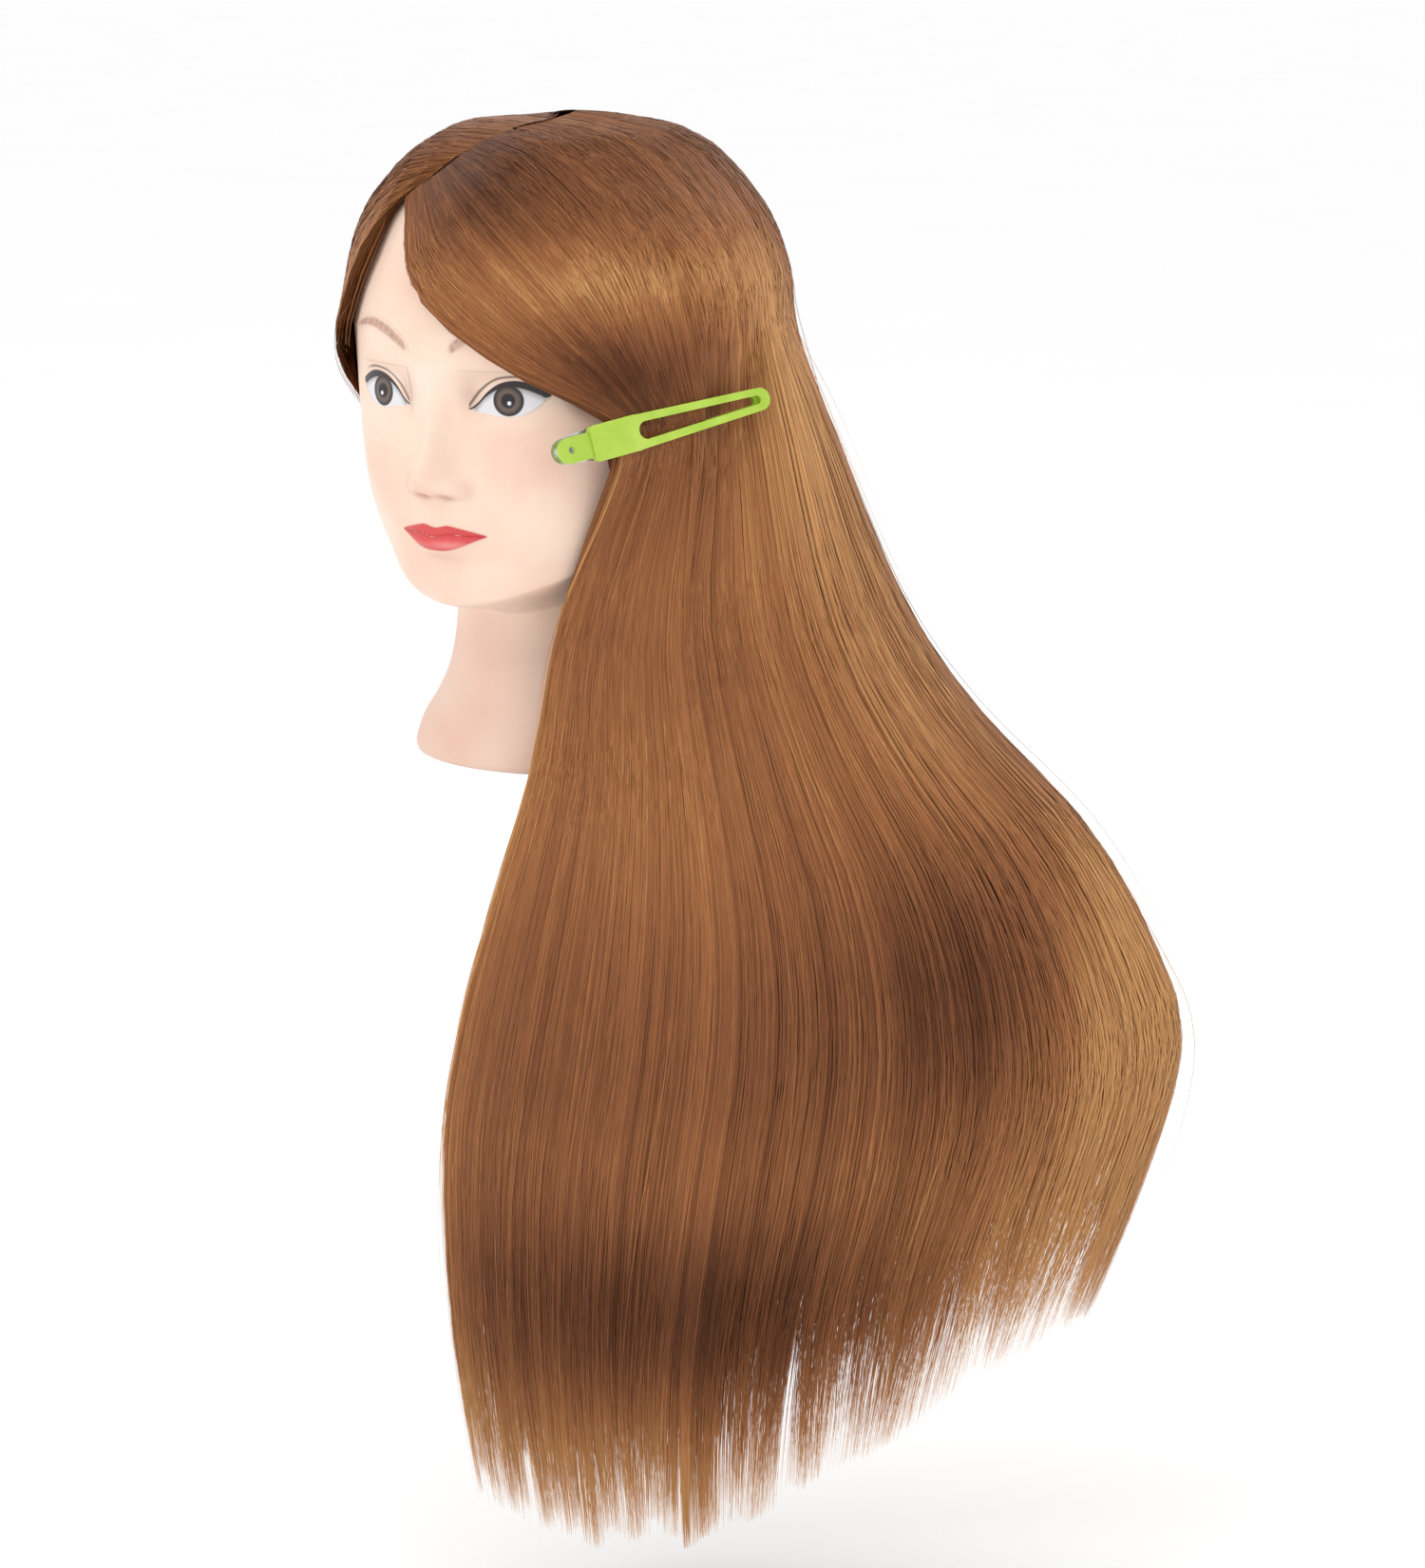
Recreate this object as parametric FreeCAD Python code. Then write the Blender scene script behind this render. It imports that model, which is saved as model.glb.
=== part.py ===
import FreeCAD, Part
import math
import os

# Mannequin training head with long hair and a spring clip that holds the fringe.
# Millimetres. +Z up, the face looks along -Y and its left side is +X. The origin is on the axis of the
# clamp socket, where the socket opens through the flat underside of the neck.

V = FreeCAD.Vector

# ---------------------------------------------------------------- head
SKULL_CENTRE = (0.0, -4.0, 167.0)
SKULL_RADII = (76.0, 88.0, 75.5)      # half width, half depth, half height of the scalp
CHIN_HEIGHT = 57.0                    # underside of the chin
JAW_RISE = 34.0                       # how much higher the jaw's edge is beside the ears
JAW_ROUND = 9.0                       # height over which the neck turns into the jaw
FACE_SQUARENESS = 0.07
NOSE_HEIGHT = 116.0
NOSE_WIDTH = 8.0
NOSE_REACH = 14.0
CHEEK_TAPER = 0.15                    # how much the head narrows one skull radius below its widest level
SKIN_WALL = 3.0
OUTLINE_POINTS = 48

# ---------------------------------------------------------------- clamp socket in the neck
BORE_RADIUS = 13.0
BORE_DEPTH = 100.0
SOCKET_WALL = 3.0
FLANGE_RADIUS = 32.0
FLANGE_THICKNESS = 3.0

# ---------------------------------------------------------------- hair
FAN_TURN = math.radians(34.0)         # the hanging hair fans out in a plane turned this far from X to Y
HAIR_ON_HEAD = 7.5                    # thickness of the combed hair on the scalp
UNDER_ON_HEAD = 5.0                   # how far the underlayer stands out from the scalp
HAIR_HANGING = 9.0                    # thickness of the hanging curtain
FRINGE_HANGING = 5.5                  # of which the fringe, in front of the underlayer
UNDER_HANGING = 5.0
ROOT_THICKNESS = 1.2
THINNEST = 0.8
HAIR_EDGE = 0.45                      # share of that thickness left at the curtain's two free edges
SCALP_GAP = 1.6                       # clear space between the scalp and the solids of the hair
PARTING_GAP = 1.15                    # clear space between the fringe and the underlayer
SIDE_GAP = 0.025                      # clear space beside a section, as a share of a guide's spacing
COLUMN_STEPS = 3                      # flat strips across a section
CURTAIN_TOP = 60.0                    # height where the hair hangs free of the head
LEAVING_SHARE = 0.35                  # of the way from the head to there, on a straight line

# ---------------------------------------------------------------- clip
CLIP_LENGTH = 93.0
CLIP_TAIL = V(58.4, -92.8, 127.9)     # middle of the tail's end
CLIP_HEADING = 67.6                   # degrees from +X to +Y, tail to nose
CLIP_RISE = 9.0                       # degrees that the nose points up
CLIP_LEAN = 12.0                      # degrees that the clip's face leans back
LOCK_THICKNESS = 2.0                  # hair held between the jaws
LOCK_TOP = 0.1                        # its outer face, out of the line from tail to nose
LOCK_RUN = 8.0                        # its flat run each side of that line
JAW_CLEARANCE = 0.3                   # between the held lock and each jaw
JAW_GAP = LOCK_THICKNESS + 2.0 * JAW_CLEARANCE
JAW_THICKNESS = 2.2
SHIELD_HALF_WIDTH = 6.6
NOSE_HALF_WIDTH = 4.2
SHIELD_START = 15.0
WINDOW_START = 35.0                   # end of the shield
WINDOW_HALF_WIDTHS = (3.3, 1.6)       # at the shield and at the nose
WINDOW_EDGE = 0.3                     # solid strip between the shield's end and the window
PIN_ALONG = 21.0                      # hinge pin's distance from the tail's end
PIN_DEPTH = -1.3                      # pin axis, level with the middle of the held lock
PIN_RADIUS = 0.8
PIN_CLEARANCE = 0.05
EAR_RADIUS = 1.55
EAR_THICKNESS = 0.6
EAR_INSIDE = 4.5                      # inside face of the bracket's ears, from the clip's middle
COIL_RADIUS = 2.1
COIL_HALF_LENGTH = 3.8
WIRE_RADIUS = 0.4
LEVER_HALF_WIDTH = 4.7
LEVER_TILT = 7.0                      # degrees that the thumb lever stands up
LOWER_TILT = 15.0                     # degrees that the lower lever drops away
LOWER_SHORTER = 3.0                   # how much nearer the hinge the lower lever ends
THUMB_HOLE_ALONG = 5.6


def save(node, shape):
    shape.exportStep("parts/" + node + ".step")


# ================================================================ head
def between(value, table):
    """Straight-line reading of a table of rows that start with a rising value."""
    for low, high in zip(table, table[1:]):
        if value <= high[0]:
            share = (value - low[0]) / (high[0] - low[0])
            return [a + (b - a) * share for a, b in zip(low[1:], high[1:])]
    return list(table[-1][1:])


def skull_row(height):
    """Half width, front and back of the skull at a height."""
    level = (height - SKULL_CENTRE[2]) / SKULL_RADII[2]
    shrink = math.sqrt(max(1.0 - level * level, 0.0))
    return [SKULL_RADII[0] * shrink, SKULL_CENTRE[1] - SKULL_RADII[1] * shrink,
            SKULL_CENTRE[1] + SKULL_RADII[1] * shrink]


# height, half width, front, back
NECK = [
    [0.0, 63.2, -59.8, 67.0],
    [2.0, 63.8, -60.4, 67.6],
    [6.0, 63.0, -59.4, 66.8],
    [12.0, 61.0, -57.0, 64.6],
    [20.0, 55.8, -52.6, 59.0],
    [30.0, 50.6, -48.8, 54.4],
    [42.0, 47.4, -46.2, 51.8],
    [56.0, 46.2, -44.8, 51.0],
    [75.0, 47.0, -44.0, 52.0],
    [100.0, 52.0, -44.0, 60.0],
]
FACE = [
    [57.0, 41.0, -66.0, 51.0],
    [61.0, 47.0, -72.5, 53.0],
    [66.0, 50.0, -76.5, 55.0],
    [74.0, 53.5, -79.2, 58.0],
    [84.0, 58.3, -81.0, 62.0],
    [93.0, 63.0, -82.4, 65.5],
    [102.0, 67.0, -83.6, 69.0],
    [112.0, 69.8, -84.2, 72.5],
    [124.0, 72.6, -84.6, 76.5],
    [136.0, 74.4, -85.2, 80.0],
    [148.0, 75.5, -87.2, 82.6],
    [158.0, 75.9, -89.8, 83.7],
]
HEAD_LEVELS = [0.0, 2.0, 6.0, 12.0, 20.0, 30.0, 42.0, 52.0, 57.0, 60.0, 63.0, 66.0, 70.0, 74.0, 79.0, 84.0, 88.5,
               93.0, 97.5, 102.0, 105.0, 108.0, 110.0, 113.0, 116.0, 119.0, 124.0, 130.0, 136.0, 142.0, 148.0,
               158.0]
SKULL_LEVELS = [167.0, 177.0, 187.0, 197.0, 207.0, 216.0, 223.0, 229.0, 234.0, 238.0, 240.5, 241.8]


def soft(value, low, high):
    """0 below low, 1 above high and an S between them."""
    share = min(max((value - low) / (high - low), 0.0), 1.0)
    return share * share * (3.0 - 2.0 * share)


def nose_bump(height):
    """How far the nose stands out of the face at a height."""
    spread = 17.0 if height > NOSE_HEIGHT else 6.5
    return NOSE_REACH * math.exp(-((height - NOSE_HEIGHT) / spread) ** 2)


def outline_point(angle, height, inset):
    """Point of the head's outline at an angle round from +X, moved inwards by inset."""
    cos, sin = math.cos(angle), math.sin(angle)
    frontness = max(-sin, 0.0)
    if height > FACE[-1][0]:
        half_width, front, back = skull_row(height)
    else:
        half_width, front, back = between(max(height, FACE[0][0]), FACE)
    power = 1.0
    if frontness > 0:
        power -= FACE_SQUARENESS * soft(height, 60.0, 95.0) * (1.0 - soft(height, 135.0, 165.0))
    x = (half_width - inset) * math.copysign(abs(cos) ** power, cos)
    y = (front + back) / 2.0 + ((back - front) / 2.0 - inset) * math.copysign(abs(sin) ** power, sin)
    half_width, front, back = between(height, NECK)
    neck_x = (half_width - inset) * cos
    neck_y = (front + back) / 2.0 + ((back - front) / 2.0 - inset) * sin
    jaw = CHIN_HEIGHT + inset + JAW_RISE * (1.0 - frontness) ** 0.9
    share = soft(height, jaw, jaw + JAW_ROUND)
    x = x * share + neck_x * (1.0 - share)
    y = y * share + neck_y * (1.0 - share)
    if frontness > 0 and inset == 0:
        y -= nose_bump(height) * math.exp(-(x / NOSE_WIDTH) ** 2)
    return V(x, y, height)


def head_section(height, inset):
    """Closed smooth outline of the head at a height."""
    curve = Part.BSplineCurve()
    curve.interpolate([outline_point(2.0 * math.pi * step / OUTLINE_POINTS, height, inset)
                       for step in range(OUTLINE_POINTS)], PeriodicFlag=True)
    return Part.Wire([curve.toShape()])


def head_solid(inset, levels):
    return Part.makeLoft([head_section(level, inset) for level in levels], True, True)


def make_head():
    outer = head_solid(0.0, HEAD_LEVELS + SKULL_LEVELS)
    core = head_solid(SKIN_WALL, HEAD_LEVELS + [level - SKIN_WALL for level in SKULL_LEVELS[1:]])
    save("head_skin", outer.cut(core))
    tube = Part.makeCylinder(BORE_RADIUS + SOCKET_WALL, BORE_DEPTH + SOCKET_WALL)
    socket = tube.fuse(Part.makeCylinder(FLANGE_RADIUS, FLANGE_THICKNESS)).removeSplitter()
    save("foam_core", core.cut(socket))
    save("clamp_socket", socket.cut(Part.makeCylinder(BORE_RADIUS, BORE_DEPTH)))


# ================================================================ hair
# A guide is one line of hair on the outside of a layer, from its root to its tip. On the head its points are
# directions from the skull's centre: degrees round from +X towards the face, and degrees up. Below the head
# it lies on the curtain: side 1 is the near layer and -1 the far one, across runs from the curtain's free
# edge (0) to its far end (1), and the last number is the height of its tip. A guide of the fringe passes
# between the clip's jaws on its way, at a distance from the clip's tail.
FRINGE = [
    ([(111, 34), (91, 11), (69, -5)], 26.5, 1, 0.00, -306.0),
    ([(103, 42), (79, 26), (58, 6)], 38.0, 1, 0.10, -316.0),
    ([(98, 55), (66, 42), (44, 18)], 50.0, 1, 0.22, -318.0),
    ([(88, 64), (53, 50), (30, 24)], 62.0, 1, 0.36, -317.0),
]
UNDER_FRINGE = [
    ([(44, -24), (41, -31), (38, -38)], None, 1, 0.00, -290.0),
    ([(38, -18), (35, -26), (32, -34)], None, 1, 0.10, -300.0),
    ([(32, -12), (30, -21), (28, -30)], None, 1, 0.22, -300.0),
    ([(27, -7), (25, -15), (22, -24)], None, 1, 0.345, -295.0),
]
REST = [
    ([(85, 65), (49, 51), (26, 29), (17, 8), (14, -26)], None, 1, 0.37, -316.0),
    ([(66, 72), (28, 54), (14, 30), (8, 8), (5, -24)], None, 1, 0.53, -300.0),
    ([(46, 78), (4, 54), (-3, 30), (-6, 12), (-7, -3)], None, 1, 0.76, -268.0),
    ([(31, 81), (-25, 54), (-27, 30), (-28, 12), (-29, -2)], None, 1, 1.00, -240.0),
    ([(17, 83), (-55, 54), (-52, 30), (-52, 12), (-52, -2)], None, -1, 0.78, -262.0),
    ([(17, 85), (-85, 54), (-78, 30), (-76, 12), (-76, -2)], None, -1, 0.56, -285.0),
    ([(66, 83), (-122, 56), (-108, 32), (-102, 12), (-100, -4)], None, -1, 0.40, -300.0),
    ([(70, 74), (-165, 60), (-142, 36), (-131, 12), (-126, -8)], None, -1, 0.27, -300.0),
    ([(90, 66), (150, 58), (178, 38), (-160, 14), (-148, -12)], None, -1, 0.17, -305.0),
    ([(103, 51), (126, 44), (146, 26), (170, 6), (-168, -14)], None, -1, 0.08, -305.0),
    ([(113, 34), (114, 22), (119, 8), (130, -6), (160, -22)], None, -1, 0.00, -300.0),
]
FALL_SHARES = [0.0, 0.15, 0.3, 0.45, 0.6, 0.8, 1.0]
# height, near free edge, far end, far layer's free edge: places along the fan's plane
CURTAIN = [
    [-320.0, -38.0, 184.0, -28.0],
    [-260.0, -47.0, 196.0, -36.0],
    [-230.0, -50.5, 206.0, -40.0],
    [-200.0, -53.0, 216.0, -42.0],
    [-175.0, -53.0, 227.0, -42.0],
    [-150.0, -51.5, 236.0, -41.0],
    [-125.0, -48.0, 240.0, -38.0],
    [-100.0, -43.0, 236.0, -32.0],
    [-75.0, -36.5, 225.0, -26.0],
    [-50.0, -29.5, 211.5, -19.0],
    [-25.0, -22.0, 194.5, -12.0],
    [0.0, -14.5, 168.0, -7.0],
    [30.0, -9.0, 143.5, -14.0],
    [60.0, -3.0, 126.0, -22.0],
]
# height, half depth of the curtain, share of it at the free edges
CURTAIN_DEPTH = [
    [-320.0, 50.0, 0.24],
    [-150.0, 68.0, 0.30],
    [-60.0, 80.0, 0.62],
    [0.0, 88.0, 0.82],
    [60.0, 86.0, 0.82],
]


def girth(height, out):
    """Share of the skull's widest outline at a height: round above, nearly upright below."""
    level = (height - SKULL_CENTRE[2]) / (SKULL_RADII[2] + out)
    if level > 0:
        return math.sqrt(max(1.0 - level * level, 0.0))
    return 1.0 - CHEEK_TAPER * level * level


def on_head(turn, rise, out):
    """Point out from the head's surface: degrees round from +X towards the face, and degrees up."""
    turn, rise = math.radians(turn), math.radians(rise)
    x, y, height = [radius + out for radius in SKULL_RADII]
    level = math.tan(rise) / math.hypot(math.cos(turn) / x, math.sin(turn) / y) / height
    climb = level / math.hypot(1.0, level) if rise > 0 else level
    across = girth(SKULL_CENTRE[2] + height * climb, out) / math.hypot(math.cos(turn) / x, math.sin(turn) / y)
    return V(*SKULL_CENTRE) + V(across * math.cos(turn), -across * math.sin(turn), height * climb)


def clear_of_head(point, gap):
    """The point itself, or the nearest place outward from it that is a gap away from the head."""
    offset = point - V(*SKULL_CENTRE)
    share = girth(point.z, gap)
    round_head = math.hypot(offset.x / (SKULL_RADII[0] + gap), offset.y / (SKULL_RADII[1] + gap))
    if offset.z > 0:
        full = math.hypot(round_head, offset.z / (SKULL_RADII[2] + gap))
        return point if full >= 1.0 else V(*SKULL_CENTRE) + offset / full
    if round_head >= share or point.z < CURTAIN_TOP:
        return point
    return point + V(offset.x, offset.y, 0) * (share / round_head - 1.0)


def on_curtain(side, across, height):
    """Point on the hanging curtain of hair."""
    near_edge, far_end, back_edge = between(height, CURTAIN)
    half_depth, edge_share = between(height, CURTAIN_DEPTH)
    edge = near_edge if side > 0 else back_edge
    along = edge + (far_end - edge) * across
    swell = edge_share + (1.0 - edge_share) * min(across / 0.35, 1.0) ** 0.7
    depth = side * half_depth * swell * math.sqrt(max(1.0 - across ** 2.2, 0.0))
    return V(along * math.cos(FAN_TURN) + depth * math.sin(FAN_TURN),
             along * math.sin(FAN_TURN) - depth * math.cos(FAN_TURN), height)


def in_clip(along, across, out):
    """Point given in the clip's own directions: tail to nose, across its face, and out of its face."""
    return CLIP_PLACE.multVec(V(along, across, out))


def guide_points(guide):
    """All points of one guide on the outside of its layer."""
    directions, clip_place, side, across, tip = guide
    combed = UNDER_ON_HEAD if guide in UNDER_FRINGE else HAIR_ON_HEAD
    points = [on_head(turn, rise, combed if index else SCALP_GAP + ROOT_THICKNESS)
              for index, (turn, rise) in enumerate(directions)]
    if clip_place is not None:
        points.append(in_clip(clip_place, LOCK_RUN, LOCK_TOP))
        points.append(in_clip(clip_place, -LOCK_RUN, LOCK_TOP))
    hanging = [on_curtain(side, across, CURTAIN_TOP + (tip - CURTAIN_TOP) * share) for share in FALL_SHARES]
    if guide in REST:
        points.append(points[-1] + (hanging[0] - points[-1]) * LEAVING_SHARE)
    return points + hanging


def spline(points, place):
    """Catmull-Rom curve through points, read at a place counted in points."""
    last = len(points) - 1
    index = min(int(place), last - 1)
    t = place - index
    before, start = points[max(index - 1, 0)], points[index]
    end, after = points[index + 1], points[min(index + 2, last)]
    return (start * (2.0 - 5.0 * t * t + 3.0 * t ** 3) + end * (t + 4.0 * t * t - 3.0 * t ** 3)
            + before * (2.0 * t * t - t - t ** 3) + after * (t ** 3 - t * t)) * 0.5


def layer_point(lines, column, row, depth):
    """Point in a layer of hair: column counts its guides, row their points, depth goes in from outside."""
    def outside(c, r):
        return spline([spline(line, r) for line in lines], c)
    step = 0.05
    left, right = outside(max(column - step, 0.0), row), outside(min(column + step, len(lines) - 1.0), row)
    above = outside(column, max(row - step, 0.0))
    below = outside(column, min(row + step, len(lines[0]) - 1.0))
    inward = (right - left).cross(below - above)
    return outside(column, row) + inward.normalize() * depth


def section_solid(lines, start, stop, rows, depths):
    """Closed solid of the hair between two columns; depths gives its outer and inner depth at a place."""
    columns = [start + (stop - start) * i / COLUMN_STEPS for i in range(COLUMN_STEPS + 1)]
    ring = 2 * len(columns)
    points = []
    for row in rows:
        outer = [clear_of_head(layer_point(lines, c, row, depths(c, row)[0]), SCALP_GAP + THINNEST)
                 for c in columns]
        inner = [clear_of_head(layer_point(lines, c, row, depths(c, row)[1]), SCALP_GAP)
                 for c in reversed(columns)]
        points += outer + inner
    triangles = []
    for level in range(len(rows) - 1):
        for i in range(ring):
            a, b = level * ring + i, level * ring + (i + 1) % ring
            triangles += [(a, b, a + ring), (b, b + ring, a + ring)]
    end = (len(rows) - 1) * ring
    for i in range(len(columns) - 1):
        a, b, c, d = i, i + 1, ring - 2 - i, ring - 1 - i
        triangles += [(a, c, b), (a, d, c)]
        triangles += [(end + a, end + b, end + c), (end + a, end + c, end + d)]
    skin = Part.Shape()
    skin.makeShapeFromMesh((points, triangles), 0.01)
    solid = Part.makeSolid(skin)
    if solid.Volume < 0:
        solid.reverse()
    return solid


def ramp(value, low, high):
    """0 below low, 1 above high and straight between them."""
    return min(max((value - low) / (high - low), 0.0), 1.0)


def tip_share(row, last):
    return min((last - row) / 2.0 + 0.35, 1.0)


def fringe_depths(column, row):
    """The fringe is squeezed to the held lock's thickness at the clip."""
    combed = ROOT_THICKNESS + (HAIR_ON_HEAD - SCALP_GAP - ROOT_THICKNESS) * ramp(row, 0.0, 1.0)
    held = combed + (LOCK_THICKNESS - combed) * ramp(row, 2.0, 3.0)
    edge = HAIR_EDGE + (1.0 - HAIR_EDGE) * ramp(column, 0.0, 2.0)
    hanging = held + (FRINGE_HANGING * edge - held) * ramp(row, 4.0, 6.0)
    return 0.0, hanging * tip_share(row, FRINGE_LAST)


def under_depths(column, row):
    """The underlayer grows below the fringe and hangs inside it."""
    edge = HAIR_EDGE + (1.0 - HAIR_EDGE) * ramp(column, 0.0, 2.0)
    outer = (FRINGE_HANGING * edge + PARTING_GAP) * ramp(row, 2.0, 3.0)
    thickness = ROOT_THICKNESS + (UNDER_HANGING * edge - ROOT_THICKNESS) * ramp(row, 1.0, 4.0)
    return outer, outer + thickness * tip_share(row, UNDER_LAST)


def rest_depths(column, row):
    combed = ROOT_THICKNESS + (HAIR_ON_HEAD - SCALP_GAP - ROOT_THICKNESS) * ramp(row, 0.0, 1.0)
    edge = HAIR_EDGE + (1.0 - HAIR_EDGE) * ramp(len(REST) - 1.0 - column, 0.0, 2.0)
    hanging = combed + (HAIR_HANGING * edge - combed) * ramp(row, 4.0, 6.0)
    return 0.0, hanging * tip_share(row, REST_LAST)


def rows_between(first, last, head_rows):
    """Rows for a section: close together on the head, wider apart on the straight fall."""
    rows = [first + i / 3.0 for i in range(int(round((head_rows - first) * 3.0)))]
    rows += [head_rows + i / 4.0 for i in range(4)] + [head_rows + 1.0, head_rows + 1.5]
    return rows + [float(row) for row in range(head_rows + 2, last + 1)]


FRINGE_LAST = 3 + 2 + len(FALL_SHARES) - 1
UNDER_LAST = 3 + len(FALL_SHARES) - 1
REST_LAST = 5 + len(FALL_SHARES)
FRINGE_NODES = ["fringe_front", "fringe_middle", "fringe_rear"]
UNDER_NODES = ["temple_left", "side_left_front", "side_left_rear"]
REST_NODES = ["top_left", "crown_left", "crown_rear_left", "back_left", "back_middle", "back_right",
              "crown_rear_right", "crown_right", "side_right", "temple_right"]


def make_hair():
    fringe_rows = [row for row in rows_between(0, FRINGE_LAST, 4) if not 3.0 < row < 4.0]
    layers = [
        (FRINGE, FRINGE_NODES, fringe_rows, fringe_depths),
        (UNDER_FRINGE, UNDER_NODES, rows_between(0, UNDER_LAST, 2), under_depths),
        (REST, REST_NODES, rows_between(0, REST_LAST, 4), rest_depths),
    ]
    for guides, nodes, rows, depths in layers:
        lines = [guide_points(guide) for guide in guides]
        for index, node in enumerate(nodes):
            start, stop = index + SIDE_GAP, index + 1.0 - SIDE_GAP
            save(node, section_solid(lines, start, stop, rows, depths))


# ================================================================ clip
def clip_place():
    """Placement of the clip's own frame: X from tail to nose, Y across its face, Z out of its face."""
    turn = FreeCAD.Rotation(V(0, 0, 1), CLIP_HEADING)
    rise = FreeCAD.Rotation(V(0, 1, 0), -CLIP_RISE)
    lean = FreeCAD.Rotation(V(1, 0, 0), 90.0 - CLIP_LEAN)
    return FreeCAD.Placement(CLIP_TAIL, turn * rise * lean)


CLIP_PLACE = clip_place()


def rounded_bar(start, stop, half_start, half_stop, bottom, top):
    """Flat bar along X with a round end at each side, tapering from one half width to the other."""
    a, b = V(start, 0, bottom), V(stop, 0, bottom)
    length = stop - start
    lean = (half_start - half_stop) / length
    side = math.sqrt(1.0 - lean * lean)
    corners = [(a, half_start, 1), (b, half_stop, 1), (b, half_stop, -1), (a, half_start, -1)]
    p, q, r, s = [c + V(h * lean, sign * h * side, 0) for c, h, sign in corners]
    edges = [
        Part.LineSegment(p, q).toShape(),
        Part.Arc(q, b + V(half_stop, 0, 0), r).toShape(),
        Part.LineSegment(r, s).toShape(),
        Part.Arc(s, a - V(half_start, 0, 0), p).toShape(),
    ]
    return Part.Face(Part.Wire(edges)).extrude(V(0, 0, top - bottom))


def prong(bottom, top):
    """Long tapering prong with its window, from the shield to the nose."""
    nose = CLIP_LENGTH - NOSE_HALF_WIDTH
    outline = rounded_bar(WINDOW_START - 4.0, nose, SHIELD_HALF_WIDTH, NOSE_HALF_WIDTH, bottom, top)
    wide, narrow = WINDOW_HALF_WIDTHS
    window = rounded_bar(WINDOW_START + WINDOW_EDGE + wide, nose - 1.5, wide, narrow, bottom - 1.0, top + 1.0)
    return outline.cut(window)


def plate(start, stop, half_width, bottom, top):
    return Part.makeBox(stop - start, 2.0 * half_width, top - bottom, V(start, -half_width, bottom))


def across_pin(radius, low, high):
    """Round bar along the pin's axis, between two distances across the clip."""
    return Part.makeCylinder(radius, high - low, V(PIN_ALONG, low, PIN_DEPTH), V(0, 1, 0))


def hinge_ears(inner, reach):
    """Two round-ended ears on the pin, which reach down (or up) to a level; inner is their inside face."""
    ears = []
    for low in (inner, -inner - EAR_THICKNESS):
        web = Part.makeBox(2.0 * EAR_RADIUS, EAR_THICKNESS, abs(reach - PIN_DEPTH),
                           V(PIN_ALONG - EAR_RADIUS, low, min(reach, PIN_DEPTH)))
        ear = web.fuse(across_pin(EAR_RADIUS, low, low + EAR_THICKNESS))
        ears.append(ear.cut(across_pin(PIN_RADIUS + PIN_CLEARANCE, low - 1.0, low + EAR_THICKNESS + 1.0)))
    return ears


def tilted(shape, about_x, about_z, degrees):
    """Turned about a line across the clip; a positive turn lifts the tail."""
    shape.rotate(V(about_x, 0, about_z), V(0, 1, 0), degrees)
    return shape


def wire(start, end):
    return Part.makeCylinder(WIRE_RADIUS, (end - start).Length, start, end - start)


def upper_half():
    """Lime shield with its windowed prong, lime thumb lever, steel bracket and the spring's upper leg."""
    low = LOCK_TOP + JAW_CLEARANCE
    high = low + JAW_THICKNESS
    shield = plate(SHIELD_START, WINDOW_START, SHIELD_HALF_WIDTH, low, high)
    corners = [edge for edge in shield.Edges
               if edge.BoundBox.ZLength > 1.0 and edge.BoundBox.XMax < WINDOW_START]
    shield = shield.makeFillet(2.0, corners).fuse(prong(low, high)).removeSplitter()
    coil_room = plate(PIN_ALONG - 3.0, PIN_ALONG + 3.0, 4.4, low - 1.0, PIN_DEPTH + COIL_RADIUS + 0.3)

    lever = rounded_bar(LEVER_HALF_WIDTH, SHIELD_START + 3.0, LEVER_HALF_WIDTH, LEVER_HALF_WIDTH,
                        low, low + 1.5)
    lever = lever.cut(plate(SHIELD_START, SHIELD_START + 12.0, 10.0, low - 1.0, low + 3.0))
    lever = lever.cut(Part.makeCylinder(1.4, 6.0, V(THUMB_HOLE_ALONG, 0, low - 2.0)))
    lever = tilted(lever, SHIELD_START, low, LEVER_TILT).cut(shield)

    strip = plate(THUMB_HOLE_ALONG + 3.0, SHIELD_START, 3.6, low - 0.5, low)
    strip = tilted(strip, SHIELD_START, low, LEVER_TILT)
    seat = plate(SHIELD_START - 0.1, PIN_ALONG - 3.1, EAR_INSIDE + EAR_THICKNESS, low - 0.5, low)
    sides = []
    for low_side in (EAR_INSIDE, -EAR_INSIDE - EAR_THICKNESS):
        sides.append(Part.makeBox(PIN_ALONG + EAR_RADIUS - SHIELD_START, EAR_THICKNESS, 0.5,
                                  V(SHIELD_START, low_side, low - 0.5)))
    bracket = strip.multiFuse([seat] + sides + hinge_ears(EAR_INSIDE, low)).removeSplitter()

    leg = wire(V(PIN_ALONG - COIL_RADIUS - 0.8, 3.0, low - 1.2), V(THUMB_HOLE_ALONG + 4.0, 3.0, low - 0.4))
    return {"clip_upper_jaw": shield.cut(coil_room), "clip_upper_lever": lever,
            "clip_upper_bracket": bracket, "clip_spring_leg": leg}


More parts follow.
